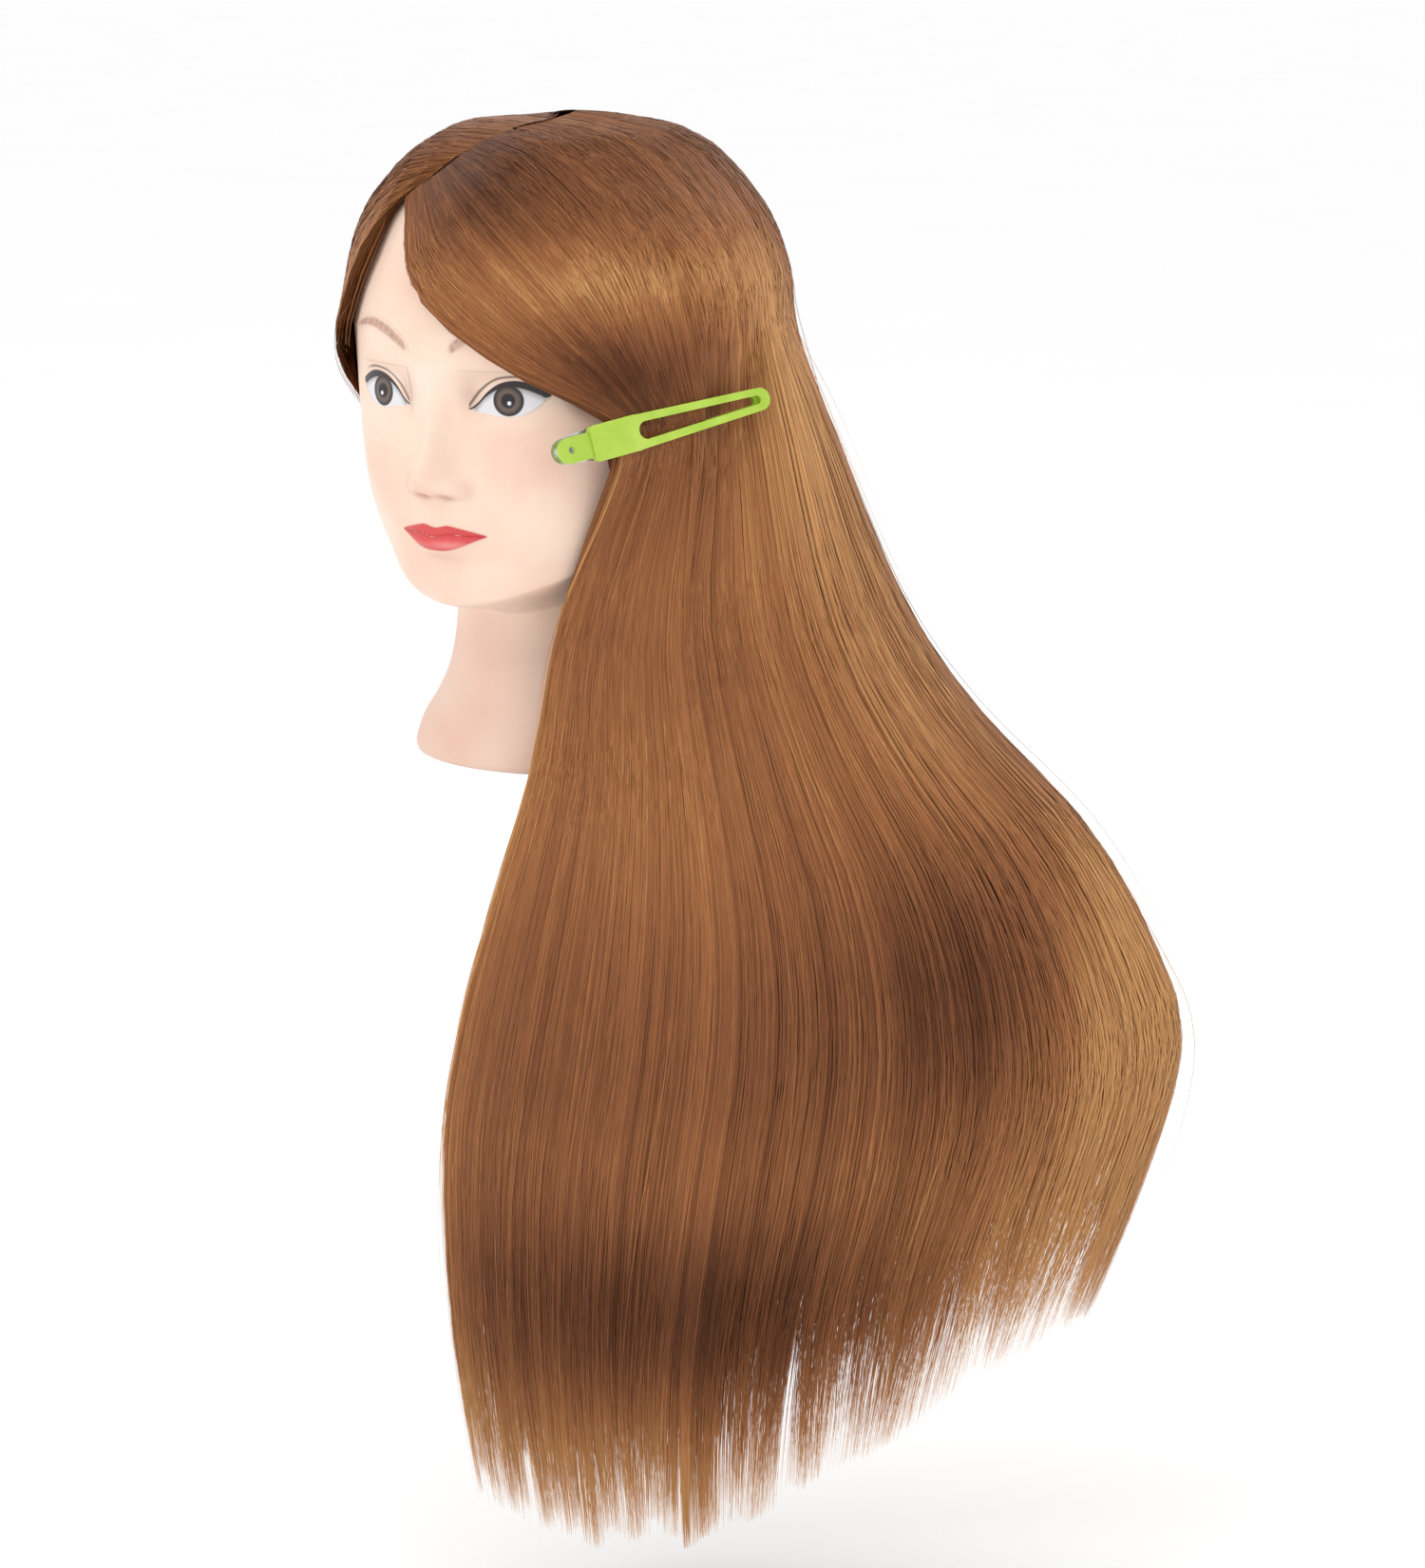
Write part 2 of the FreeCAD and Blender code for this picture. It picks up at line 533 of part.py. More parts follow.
def lower_half():
    """Lime windowed prong, bright steel lever, pin and the spring's coil."""
    high = LOCK_TOP + JAW_CLEARANCE - JAW_GAP
    low = high - JAW_THICKNESS
    jaw = prong(low, high).fuse(plate(PIN_ALONG + 2.8, WINDOW_START, SHIELD_HALF_WIDTH - 0.8, low, high))

    outside = EAR_INSIDE + EAR_THICKNESS + 0.15
    base = plate(PIN_ALONG - 4.0, WINDOW_START - 2.0, outside + EAR_THICKNESS, low - 0.6, low)
    arm = rounded_bar(LEVER_HALF_WIDTH + LOWER_SHORTER, PIN_ALONG - 2.0, LEVER_HALF_WIDTH,
                      outside + EAR_THICKNESS - 0.05, low - 0.6, low)
    arm = arm.cut(plate(PIN_ALONG - 4.0, PIN_ALONG + 10.0, 10.0, low - 3.0, low + 3.0))
    arm = tilted(arm, PIN_ALONG - 4.0, low, -LOWER_TILT)
    lever = base.multiFuse([arm] + hinge_ears(outside, low - 0.3)).removeSplitter()

    pin = across_pin(PIN_RADIUS, -outside - EAR_THICKNESS - 0.4, outside + EAR_THICKNESS + 0.4)
    coil = across_pin(COIL_RADIUS, -COIL_HALF_LENGTH, COIL_HALF_LENGTH)
    coil = coil.cut(across_pin(COIL_RADIUS - 2.0 * WIRE_RADIUS, -10.0, 10.0))
    drop = math.tan(math.radians(LOWER_TILT))
    leg_start = V(PIN_ALONG - 0.5, -3.0, PIN_DEPTH - COIL_RADIUS + WIRE_RADIUS)
    leg_end = V(8.0, -3.0, low + 0.6 - (PIN_ALONG - 4.0 - 8.0) * drop)
    spring = coil.fuse(wire(leg_start, leg_end)).removeSplitter()
    return {"clip_lower_jaw": jaw.removeSplitter(), "clip_lower_lever": lever,
            "clip_hinge_pin": pin, "clip_spring": spring}


def make_clip():
    for half in (upper_half(), lower_half()):
        for node, solid in half.items():
            solid.Placement = CLIP_PLACE.multiply(solid.Placement)
            save(node, solid)


os.makedirs("parts", exist_ok=True)
make_head()
make_hair()
make_clip()
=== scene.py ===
import math

import bpy
import numpy as np
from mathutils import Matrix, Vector


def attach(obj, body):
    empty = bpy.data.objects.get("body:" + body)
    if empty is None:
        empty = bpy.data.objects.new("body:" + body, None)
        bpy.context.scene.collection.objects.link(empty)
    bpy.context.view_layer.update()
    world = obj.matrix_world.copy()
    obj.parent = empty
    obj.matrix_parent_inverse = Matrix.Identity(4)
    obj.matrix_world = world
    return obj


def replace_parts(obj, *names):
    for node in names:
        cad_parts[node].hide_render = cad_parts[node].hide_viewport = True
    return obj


# Mannequin training head with long straight hair and a lime spring clip.
# Shapes are worked out in millimetres in the frame's directions: +Z up, the face looks along -Y.

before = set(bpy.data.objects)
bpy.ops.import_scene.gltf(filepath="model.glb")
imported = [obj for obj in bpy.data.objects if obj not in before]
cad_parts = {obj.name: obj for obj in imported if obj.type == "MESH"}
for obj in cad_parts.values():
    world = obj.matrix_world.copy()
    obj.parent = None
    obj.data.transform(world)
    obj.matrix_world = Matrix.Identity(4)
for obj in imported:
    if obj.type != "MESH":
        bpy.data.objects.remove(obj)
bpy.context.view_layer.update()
MM = 0.001


def ramp(value, low, high):
    """0 below low, 1 above high and straight between them."""
    return np.clip((value - low) / (high - low), 0.0, 1.0)


def soft(value, low, high):
    """0 below low, 1 above high and an S between them."""
    t = ramp(value, low, high)
    return t * t * (3.0 - 2.0 * t)


def bump(x, z, wide, high):
    return np.exp(-(x / wide) ** 2 - (z / high) ** 2)


def bumps(table, x, z):
    """Sum of bumps, each given as its height, its place in x and z and its half width in x and z."""
    return sum(rise * bump(x - at_x, z - at_z, wide, high) for rise, at_x, at_z, wide, high in table)


def smooth_table(value, table):
    """Smooth readings of the columns of a table whose rows start with a rising value."""
    at, *columns = np.array(table).T
    i = np.clip(np.searchsorted(at, value) - 1, 0, len(at) - 2)
    step = at[i + 1] - at[i]
    t = np.clip((value - at[i]) / step, 0.0, 1.0)
    readings = []
    for data in columns:
        slope = np.gradient(data, at)
        readings.append(data[i] * (1 + 2 * t) * (1 - t) ** 2 + data[i + 1] * t * t * (3 - 2 * t)
                        + slope[i] * step * t * (1 - t) ** 2 - slope[i + 1] * step * t * t * (1 - t))
    return readings


def straight_table(value, table):
    """Readings in straight lines of the columns of a table whose rows start with a rising value."""
    at, *columns = np.array(table).T
    return [np.interp(value, at, data) for data in columns]


def unit(vectors):
    return vectors / np.maximum(np.linalg.norm(vectors, axis=-1, keepdims=True), 1e-6)


def new_object(name, data):
    made = bpy.data.objects.new(name, data)
    bpy.context.scene.collection.objects.link(made)
    return made


# ================================================================ head shape
SKULL_CENTRE = np.array([0.0, -4.0, 167.0])
SKULL_RADII = np.array([76.0, 88.0, 75.5])
# height, half width, front, back
NECK = [
    [0.0, 63.2, -59.8, 67.0],
    [2.0, 63.8, -60.4, 67.6],
    [6.0, 63.0, -59.4, 66.8],
    [12.0, 61.0, -57.0, 64.6],
    [20.0, 55.8, -52.6, 59.0],
    [30.0, 50.6, -48.8, 54.4],
    [42.0, 47.4, -46.2, 51.8],
    [56.0, 46.2, -44.8, 51.0],
    [75.0, 47.0, -44.0, 52.0],
    [100.0, 52.0, -44.0, 60.0],
    [130.0, 60.0, -44.0, 70.0],
]
FACE = [
    [57.0, 41.0, -66.0, 51.0],
    [61.0, 47.0, -72.5, 53.0],
    [66.0, 50.0, -76.5, 55.0],
    [74.0, 53.5, -79.2, 58.0],
    [84.0, 58.3, -81.0, 62.0],
    [93.0, 63.0, -82.4, 65.5],
    [102.0, 67.0, -83.6, 69.0],
    [112.0, 69.8, -84.2, 72.5],
    [124.0, 72.6, -84.6, 76.5],
    [136.0, 74.4, -85.2, 80.0],
    [148.0, 75.5, -87.2, 82.6],
    [158.0, 75.9, -89.8, 83.7],
    [167.0, 76.0, -91.8, 84.0],
]
# height, how far the bridge and tip of the nose stand out, half width of that ridge
NOSE = [
    [100.0, 0.0, 9.0],
    [104.0, 0.4, 9.0],
    [107.0, 2.6, 8.6],
    [109.5, 7.6, 8.2],
    [112.0, 11.8, 7.6],
    [114.5, 13.4, 7.2],
    [118.0, 12.8, 6.6],
    [124.0, 9.8, 5.8],
    [131.0, 6.8, 5.4],
    [138.0, 4.4, 5.6],
    [146.0, 2.2, 6.5],
    [154.0, 0.7, 8.0],
    [162.0, 0.0, 10.0],
]
# how far each feature stands out, its distance from the middle of the face, its height, and its half sizes
FEATURES = [
    (4.4, 9.4, 111.4, 4.2, 4.4),        # wings, tip and openings of the nose
    (1.0, 0.0, 114.5, 8.0, 5.5),
    (-1.8, 4.8, 107.6, 2.6, 1.4),
    (-4.6, 26.5, 145.5, 14.5, 10.5),    # eye sockets and the eyeballs in them
    (3.8, 29.5, 143.6, 12.0, 8.2),
    (1.6, 26.0, 162.0, 20.0, 7.0),      # brows, cheeks, mouth and chin
    (2.6, 33.0, 114.0, 17.0, 15.0),
    (4.6, 0.0, 91.0, 17.0, 13.0),
    (2.4, 0.0, 71.5, 13.0, 8.0),
    (-1.6, 0.0, 82.6, 11.0, 3.4),
    (-0.7, 0.0, 101.0, 2.6, 4.0),
]
# strengths of the painted blush and of the painted shade, laid out in the same way
BLUSH = [
    (0.5, 44.0, 118.0, 17.0, 14.0),
    (0.35, 0.0, 72.0, 14.0, 9.0),
    (0.35, 0.0, 113.0, 12.0, 7.0),
]
# painted shade: darker at the inner corners of the eyes, in the folds over the lids, under the lower lip,
# under the nose and beside its wings
SHADE = [
    (0.42, 14.5, 145.5, 4.6, 6.5),
    (0.20, 27.0, 152.5, 13.0, 2.6),
    (0.16, 0.0, 84.6, 9.0, 1.6),
    (0.55, 5.2, 107.4, 4.6, 1.3),
    (0.18, 13.8, 110.5, 2.2, 4.0),
]
MOUTH_HALF_WIDTH = 19.8
MOUTH_LINE = 93.4
UPPER_LIP, LOWER_LIP = 2.0, 2.9                 # how far the lips stand out
UPPER_FULLEST, LOWER_FULLEST = 0.45, 0.5        # where they stand out most, from the line to their edge
LIP_SPREAD = 0.55
LIP_FOLD = 0.9
# distance from the middle of the face, top edge and bottom edge of the lips
LIPS = [
    [0.0, 95.9, 87.4],
    [2.2, 96.3, 87.4],
    [5.0, 96.9, 87.7],
    [8.5, 96.4, 88.6],
    [12.0, 95.6, 90.1],
    [15.5, 94.7, 91.7],
    [18.0, 94.0, 92.7],
    [19.8, 93.5, 93.4],
]
IRIS_ACROSS, IRIS_HEIGHT, IRIS_RADIUS = 28.8, 144.0, 5.7
# distance from the middle of the face, lower lid, underside and top of the painted liner, crease above it
EYE = [
    [13.2, 139.9, 140.0, 140.3, 141.0],
    [15.0, 139.6, 140.4, 141.2, 143.4],
    [17.2, 139.4, 142.0, 142.9, 146.2],
    [20.4, 138.9, 145.1, 146.4, 149.2],
    [24.3, 138.3, 147.6, 149.4, 151.6],
    [29.5, 138.0, 148.9, 151.2, 152.8],
    [35.2, 139.4, 148.1, 150.9, 152.6],
    [39.5, 142.4, 146.3, 149.2, 151.2],
    [41.5, 144.4, 145.3, 148.2, 150.0],
    [43.4, 145.8, 146.2, 147.0, 148.8],
]
# distance from the middle of the face, middle and half height of the brow
BROW = [
    [8.6, 161.4, 0.2],
    [10.5, 162.6, 1.7],
    [13.5, 164.6, 2.3],
    [18.0, 167.2, 2.3],
    [24.0, 169.3, 2.0],
    [31.0, 170.0, 1.6],
    [38.0, 168.8, 1.1],
    [45.0, 165.8, 0.3],
]
# degrees up, near and far ends of the bare face round from +X
HAIRLINE = [
    [-90.0, 20.0, 175.0],
    [-40.0, 45.0, 150.0],
    [-20.0, 58.0, 135.0],
    [-1.0, 68.0, 126.0],
    [13.0, 90.0, 117.0],
    [22.0, 100.0, 114.0],
    [34.0, 111.0, 113.0],
    [90.0, 112.0, 112.0],
]


def lip_edges(x):
    """Heights of the top edge, the closed line and the bottom edge of the lips."""
    side = np.clip(np.abs(x), 0.0, MOUTH_HALF_WIDTH)
    top, bottom = smooth_table(side, LIPS)
    line = MOUTH_LINE - 0.7 * np.exp(-(side / 4.0) ** 2) + 0.5 * np.exp(-((side - 7.0) / 4.0) ** 2)
    return top, np.clip(line, bottom + 0.05, top - 0.05), bottom


def face_relief(x, z):
    """How far the features stand out of the plain face at a place on its front."""
    side = np.abs(x)
    reach, half = smooth_table(z, NOSE)
    out = reach * np.exp(-(side / half) ** 2.3)
    for rise, at_x, at_z, wide, high in FEATURES:
        out += rise * bump(side - at_x, z - at_z, wide, high)
    top, line, bottom = lip_edges(x)
    within = 1.0 - np.clip(side / MOUTH_HALF_WIDTH, 0, 1) ** 2
    fold = np.exp(-((z - line) / LIP_FOLD) ** 2)
    for rise, fullest, edge, own in ((UPPER_LIP, UPPER_FULLEST, top, z > line),
                                     (LOWER_LIP, LOWER_FULLEST, bottom, z <= line)):
        share = np.abs(z - line) / np.maximum(np.abs(edge - line), 0.3)
        out += rise * within * np.exp(-((share - fullest) / LIP_SPREAD) ** 2) * own
        out += rise * within * np.exp(-(fullest / LIP_SPREAD) ** 2) * fold * ~own
    out -= 0.5 * within * np.exp(-((z - line) / 0.75) ** 2)
    return out


def head_surface(angle, z):
    """Point of the skin at an angle round from +X, with -90 degrees at the front, and a height."""
    cos, sin = np.cos(angle), np.sin(angle)
    frontness = np.clip(-sin, 0.0, 1.0)
    level = np.clip((z - SKULL_CENTRE[2]) / SKULL_RADII[2], 0.0, 1.0)
    shrink = np.sqrt(np.maximum(1.0 - level ** 2, 0.0))
    above = z > SKULL_CENTRE[2]
    width, front, back = smooth_table(z, FACE)
    width = np.where(above, SKULL_RADII[0] * shrink, width)
    front = np.where(above, SKULL_CENTRE[1] - SKULL_RADII[1] * shrink, front)
    back = np.where(above, SKULL_CENTRE[1] + SKULL_RADII[1] * shrink, back)
    square = 1.0 - 0.07 * soft(z, 60.0, 95.0) * (1.0 - soft(z, 135.0, 165.0))
    middle, depth = (front + back) / 2, (back - front) / 2
    x = width * np.sign(cos) * np.where(sin < 0, np.abs(cos) ** square, np.abs(cos))
    y = middle + depth * np.where(sin < 0, -frontness ** square, sin)
    neck_width, front, back = smooth_table(z, NECK)
    neck_middle, neck_depth = (front + back) / 2, (back - front) / 2
    jaw = 57.0 + 34.0 * (1.0 - frontness) ** 0.9
    share = soft(z, jaw, jaw + 9.0)
    x = x * share + neck_width * cos * (1 - share)
    y = y * share + (neck_middle + neck_depth * sin) * (1 - share)
    relief = face_relief(x, z) * soft(frontness, 0.25, 0.6) * soft(z, 58.0, 66.0)
    return np.stack([x, y - relief, z + 0 * x], -1)


HALVINGS = 34


def face_point(x, z):
    """Point of the skin in front at a distance from the middle of the face and a height."""
    low, high = np.full(np.shape(x), -math.pi / 2), np.zeros(np.shape(x))
    target = np.abs(x)
    for _ in range(HALVINGS):
        middle = (low + high) / 2
        short = head_surface(middle, z)[..., 0] < target
        low, high = np.where(short, middle, low), np.where(short, high, middle)
    points = head_surface((low + high) / 2, z)
    points[..., 0] *= np.where(x < 0, -1.0, 1.0)
    return points


def scalp_cover(points):
    """1 where the hair grows on the scalp, 0 on the face and the neck."""
    offset = points - SKULL_CENTRE
    turn = np.degrees(np.arctan2(-offset[..., 1], offset[..., 0]))
    turn = np.where(turn < -90, turn + 360, turn)
    rise = np.degrees(np.arctan2(offset[..., 2], np.hypot(offset[..., 0], offset[..., 1])))
    near, far = smooth_table(rise, HAIRLINE)
    beside = np.maximum(soft(near - turn, 3.0, 9.0), soft(turn - far, 3.0, 9.0))
    cover = np.maximum(beside, soft(rise, 36.0, 42.0))
    return cover * soft(rise, -18.0 - 0.12 * np.abs(turn - 90), -8.0 - 0.12 * np.abs(turn - 90))


def face_tints(x, z):
    """Blush and soft shading painted on the front of the face."""
    side = np.abs(x)
    return bumps(BLUSH, side, z), bumps(SHADE, side, z)


# ================================================================ meshes
def mesh_piece(name, points, quads, material, body="head", slot=None, normals=None, **attributes):
    """A piece from points in millimetres, in the frame's directions."""
    mesh = bpy.data.meshes.new(name)
    points = np.asarray(points, float).reshape(-1, 3)
    quads = np.asarray(quads, np.int32).reshape(-1, 4)
    mesh.vertices.add(len(points))
    mesh.vertices.foreach_set("co", (points * MM).astype(np.float32).ravel())
    mesh.loops.add(quads.size)
    mesh.loops.foreach_set("vertex_index", quads.ravel())
    mesh.polygons.add(len(quads))
    mesh.polygons.foreach_set("loop_start", np.arange(0, quads.size, 4, dtype=np.int32))
    mesh.polygons.foreach_set("use_smooth", np.full(len(quads), True))
    mesh.update(calc_edges=True)
    if normals is not None:
        mesh.normals_split_custom_set_from_vertices(normals.reshape(-1, 3))
    for key, values in attributes.items():
        layer = mesh.attributes.new(key, "FLOAT", "POINT")
        layer.data.foreach_set("value", np.asarray(values, np.float32).ravel())
    piece = new_object(name, mesh)
    mesh.materials.append(material)
    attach(piece, body)
    return piece


def grid_quads(rows, columns, closed=False):
    """Quads of a grid of points stored row by row."""
    r, c = np.meshgrid(np.arange(rows - 1), np.arange(columns if closed else columns - 1), indexing="ij")
    after = (c + 1) % columns
    return np.stack([r * columns + c, r * columns + after, (r + 1) * columns + after, (r + 1) * columns + c],
                    -1).reshape(-1, 4)


# ================================================================ materials
def linear(red, green, blue):
    """A colour given as 0-255 on screen, as the shader's own numbers."""
    def one(v):
        v /= 255.0
        return v / 12.92 if v <= 0.04045 else ((v + 0.055) / 1.055) ** 2.4
    return one(red), one(green), one(blue), 1.0


NOISE_RANGE = 0.3, 0.7        # where most of a noise lies


class Nodes:
    """Short names for building a node material."""

    def __init__(self, name, roughness=0.5, **constants):
        self.material = bpy.data.materials.new(name)
        self.material.use_nodes = True
        self.tree = self.material.node_tree
        self.shader = self.tree.nodes["Principled BSDF"]
        self.shader.inputs["Roughness"].default_value = roughness
        for key, value in constants.items():
            self.shader.inputs[key.replace("_", " ")].default_value = value

    def feed(self, socket, value):
        if isinstance(value, bpy.types.NodeSocket):
            self.tree.links.new(value, socket)
        else:
            socket.default_value = value

    def node(self, kind, inputs, output=0, **settings):
        """An output of a new node whose inputs have been fed."""
        made = self.tree.nodes.new(kind)
        for key, value in settings.items():
            setattr(made, key, value)
        for key, value in inputs.items():
            self.feed(made.inputs[key], value)
        return made.outputs[output]

    def place(self):
        return self.node("ShaderNodeTexCoord", {}, "Object")

    def stretched(self, x, y, z):
        return self.node("ShaderNodeMapping", {"Vector": self.place(), "Scale": (x, y, z)}, "Vector")

    def noise(self, vector, scale, detail=2.0, roughness=0.5):
        inputs = {"Vector": vector, "Scale": scale, "Detail": detail, "Roughness": roughness}
        return self.node("ShaderNodeTexNoise", inputs, "Fac")

    def attribute(self, name):
        return self.node("ShaderNodeAttribute", {}, "Fac", attribute_name=name)

    def math(self, operation, a, b=0.0, clamp=False):
        return self.node("ShaderNodeMath", {0: a, 1: b}, operation=operation, use_clamp=clamp)

    def shaken(self, value, noise, amount, clamp=False):
        shift = self.math("MULTIPLY", self.math("SUBTRACT", noise, 0.5), amount)
        return self.math("ADD", value, shift, clamp)

    def spread(self, *numbers):
        """A value between a low and a high end, moved to between two others."""
        return self.node("ShaderNodeMapRange", dict(enumerate(numbers)))

    def mix(self, share, a, b):
        return self.node("ShaderNodeMix", {0: share, 6: a, 7: b}, 2, data_type="RGBA")

    def ramp(self, value, stops):
        colour = self.node("ShaderNodeValToRGB", {0: value})
        elements = colour.node.color_ramp.elements
        while len(elements) < len(stops):
            elements.new(0.5)
        for element, (place, shade) in zip(elements, stops):
            element.position = place
            element.color = shade
        return colour

    def tint(self, noise, dark, light):
        return self.ramp(noise, [(place, linear(*rgb)) for place, rgb in zip(NOISE_RANGE, (dark, light))])

    def colour(self, value):
        self.feed(self.shader.inputs["Base Color"], value)

    def rough(self, noise, low, high):
        self.feed(self.shader.inputs["Roughness"], self.spread(noise, *NOISE_RANGE, low, high))

    def relief(self, height, strength, distance):
        bumps = self.node("ShaderNodeBump", {"Strength": strength, "Distance": distance, "Height": height})
        self.feed(self.shader.inputs["Normal"], bumps)


SKIN = linear(244, 214, 194)
SKIN_WARM = linear(241, 203, 182)
SKIN_PALE = linear(248, 224, 206)


def skin_tone(m):
    """Cast vinyl: a pale peach with faint warmer clouds."""
    cloud = m.noise(m.place(), 28.0, 3.0)
    return m.ramp(cloud, [(0.3, SKIN_WARM), (0.5, SKIN), (0.75, SKIN_PALE)])


def tinted_skin(m):
    tone = m.mix(m.math("MULTIPLY", m.attribute("blush"), 0.2, True), skin_tone(m), linear(240, 168, 148))
    # painted shade: the shade attribute darkens the skin in the creases of the face, under the nose and lip
    # and on the neck
    return m.mix(m.attribute("shade"), tone, linear(176, 122, 104))


def skin_finish(m):
    m.rough(m.noise(m.place(), 60.0), 0.42, 0.56)
    m.relief(m.noise(m.place(), 900.0, 2.0), 0.12, 0.0002)
    m.shader.inputs["Subsurface Weight"].default_value = 0.1
    m.shader.inputs["Subsurface Radius"].default_value = (0.9, 0.5, 0.3)
    m.shader.inputs["Subsurface Scale"].default_value = 0.004


def skin_material():
    m = Nodes("skin_vinyl")
    # under the hair the scalp is painted a hair brown: partly the colour of the rooted hair, partly painted
    # shade beneath the hair
    roots_and_shade = m.tint(m.noise(m.place(), 700.0, 2.0), (92, 56, 36), (132, 88, 60))
    m.colour(m.mix(m.attribute("scalp"), tinted_skin(m), roots_and_shade))
    skin_finish(m)
    return m.material


def eye_material():
    m = Nodes("painted_eye")
    brush = m.noise(m.place(), 1600.0, 2.0)
    colour = tinted_skin(m)
    colour = m.mix(m.math("MULTIPLY", m.attribute("crease"), 0.9), colour, linear(84, 54, 46))
    white = m.mix(m.attribute("lid_shadow"), linear(226, 224, 228), linear(136, 130, 132))
    colour = m.mix(m.attribute("white"), colour, white)
    iris = m.ramp(m.shaken(m.attribute("radius"), brush, 0.12), [
        (0.00, linear(24, 20, 20)),
        (0.42, linear(34, 26, 25)),
        (0.54, linear(108, 90, 80)),
        (0.72, linear(96, 80, 72)),
        (0.86, linear(48, 40, 38)),
        (1.00, linear(38, 32, 32)),
    ])
    colour = m.mix(m.attribute("iris"), colour, iris)
    colour = m.mix(m.attribute("glint"), colour, linear(244, 246, 250))
    liner = m.tint(brush, (30, 20, 20), (48, 34, 32))
    colour = m.mix(m.attribute("liner"), colour, liner)
    m.colour(colour)
    m.rough(brush, 0.3, 0.42)
    m.relief(brush, 0.06, 0.0001)
    return m.material


def lip_material():
    m = Nodes("painted_lips")
    brush = m.noise(m.stretched(1.0, 1.0, 0.3), 1100.0, 3.0)
    # the lips' red, paler where a highlight is painted on them and darkest along the closed line, where
    # shade is painted
    red = m.ramp(m.shaken(m.attribute("pale"), brush, 0.25), [
        (0.0, linear(196, 52, 56)),
        (0.4, linear(218, 78, 78)),
        (1.0, linear(240, 150, 146)),
    ])
    m.colour(m.mix(m.attribute("lip"), tinted_skin(m), red))
    m.rough(brush, 0.36, 0.48)
    m.relief(brush, 0.1, 0.0001)
    return m.material


def brow_material():
    m = Nodes("painted_brow")
    hairs = m.noise(m.stretched(1.0, 1.0, 0.45), 900.0, 3.0, 0.6)
    strength = m.math("MULTIPLY", m.attribute("brow"), m.spread(hairs, 0.3, 0.65, 0.55, 1.0), True)
    m.colour(m.mix(strength, tinted_skin(m), linear(176, 132, 112)))
    skin_finish(m)
    return m.material


def hair_material():
    m = Nodes("combed_hair", Specular_IOR_Level=0.3, Specular_Tint=(1.0, 0.72, 0.48, 1.0))
    grain = m.noise(m.stretched(1.0, 1.0, 0.05), 1200.0, 2.0, 0.6)
    m.colour(m.ramp(m.shaken(m.attribute("tone"), grain, 0.16, True), [
        (0.00, linear(50, 24, 13)),
        (0.25, linear(83, 43, 24)),
        (0.50, linear(131, 79, 48)),
        (0.75, linear(168, 109, 67)),
        (1.00, linear(206, 152, 96)),
    ]))
    m.rough(grain, 0.36, 0.5)
    m.relief(grain, 0.1, 0.0002)
    return m.material


def plastic_material():
    m = Nodes("lime_plastic")
    cloud = m.noise(m.place(), 90.0, 3.0)
    m.colour(m.tint(cloud, (164, 198, 54), (184, 214, 80)))
    m.rough(m.noise(m.place(), 500.0, 2.0), 0.26, 0.4)
    m.relief(m.noise(m.place(), 1400.0, 2.0), 0.1, 0.0002)
    return m.material


def steel_material():
    m = Nodes("bright_steel", Metallic=1.0)
    brushed = m.noise(m.stretched(1.0, 1.0, 9.0), 700.0, 3.0)
    m.colour(m.tint(brushed, (196, 196, 198), (226, 227, 229)))
    m.rough(brushed, 0.14, 0.3)
    m.relief(brushed, 0.06, 0.0002)
    return m.material


def foam_material():
    m = Nodes("foam_filling")
    cells = m.noise(m.place(), 700.0, 4.0, 0.7)
    m.colour(m.tint(cells, (206, 178, 120), (236, 214, 164)))
    m.rough(cells, 0.85, 0.98)
    m.relief(cells, 0.5, 0.0008)
    return m.material


def socket_material():
    m = Nodes("socket_plastic")
    grain = m.noise(m.place(), 900.0, 2.0)
    cloud = m.noise(m.place(), 60.0, 3.0)
    m.colour(m.tint(cloud, (226, 224, 218), (238, 237, 232)))
    m.rough(grain, 0.4, 0.55)
    m.relief(grain, 0.15, 0.0002)
    return m.material


def stage_material():
    m = Nodes("pale_floor", roughness=0.8)
    m.colour(m.ramp(m.noise(m.place(), 3.0), [(0.3, (0.98, 0.98, 0.98, 1)), (0.7, (0.99, 0.99, 0.99, 1))]))
    return m.material


# ================================================================ head piece
RIM_WIDTH, RIM_HEIGHT = 3.0, 6.0        # flat rim and inner wall in the neck's underside
RIM_MIDDLE = 4.0
CROWN_REACH = 76.0                      # a little more than the skull's, so that its last row closes it
PAINT_THICKNESS = 0.1


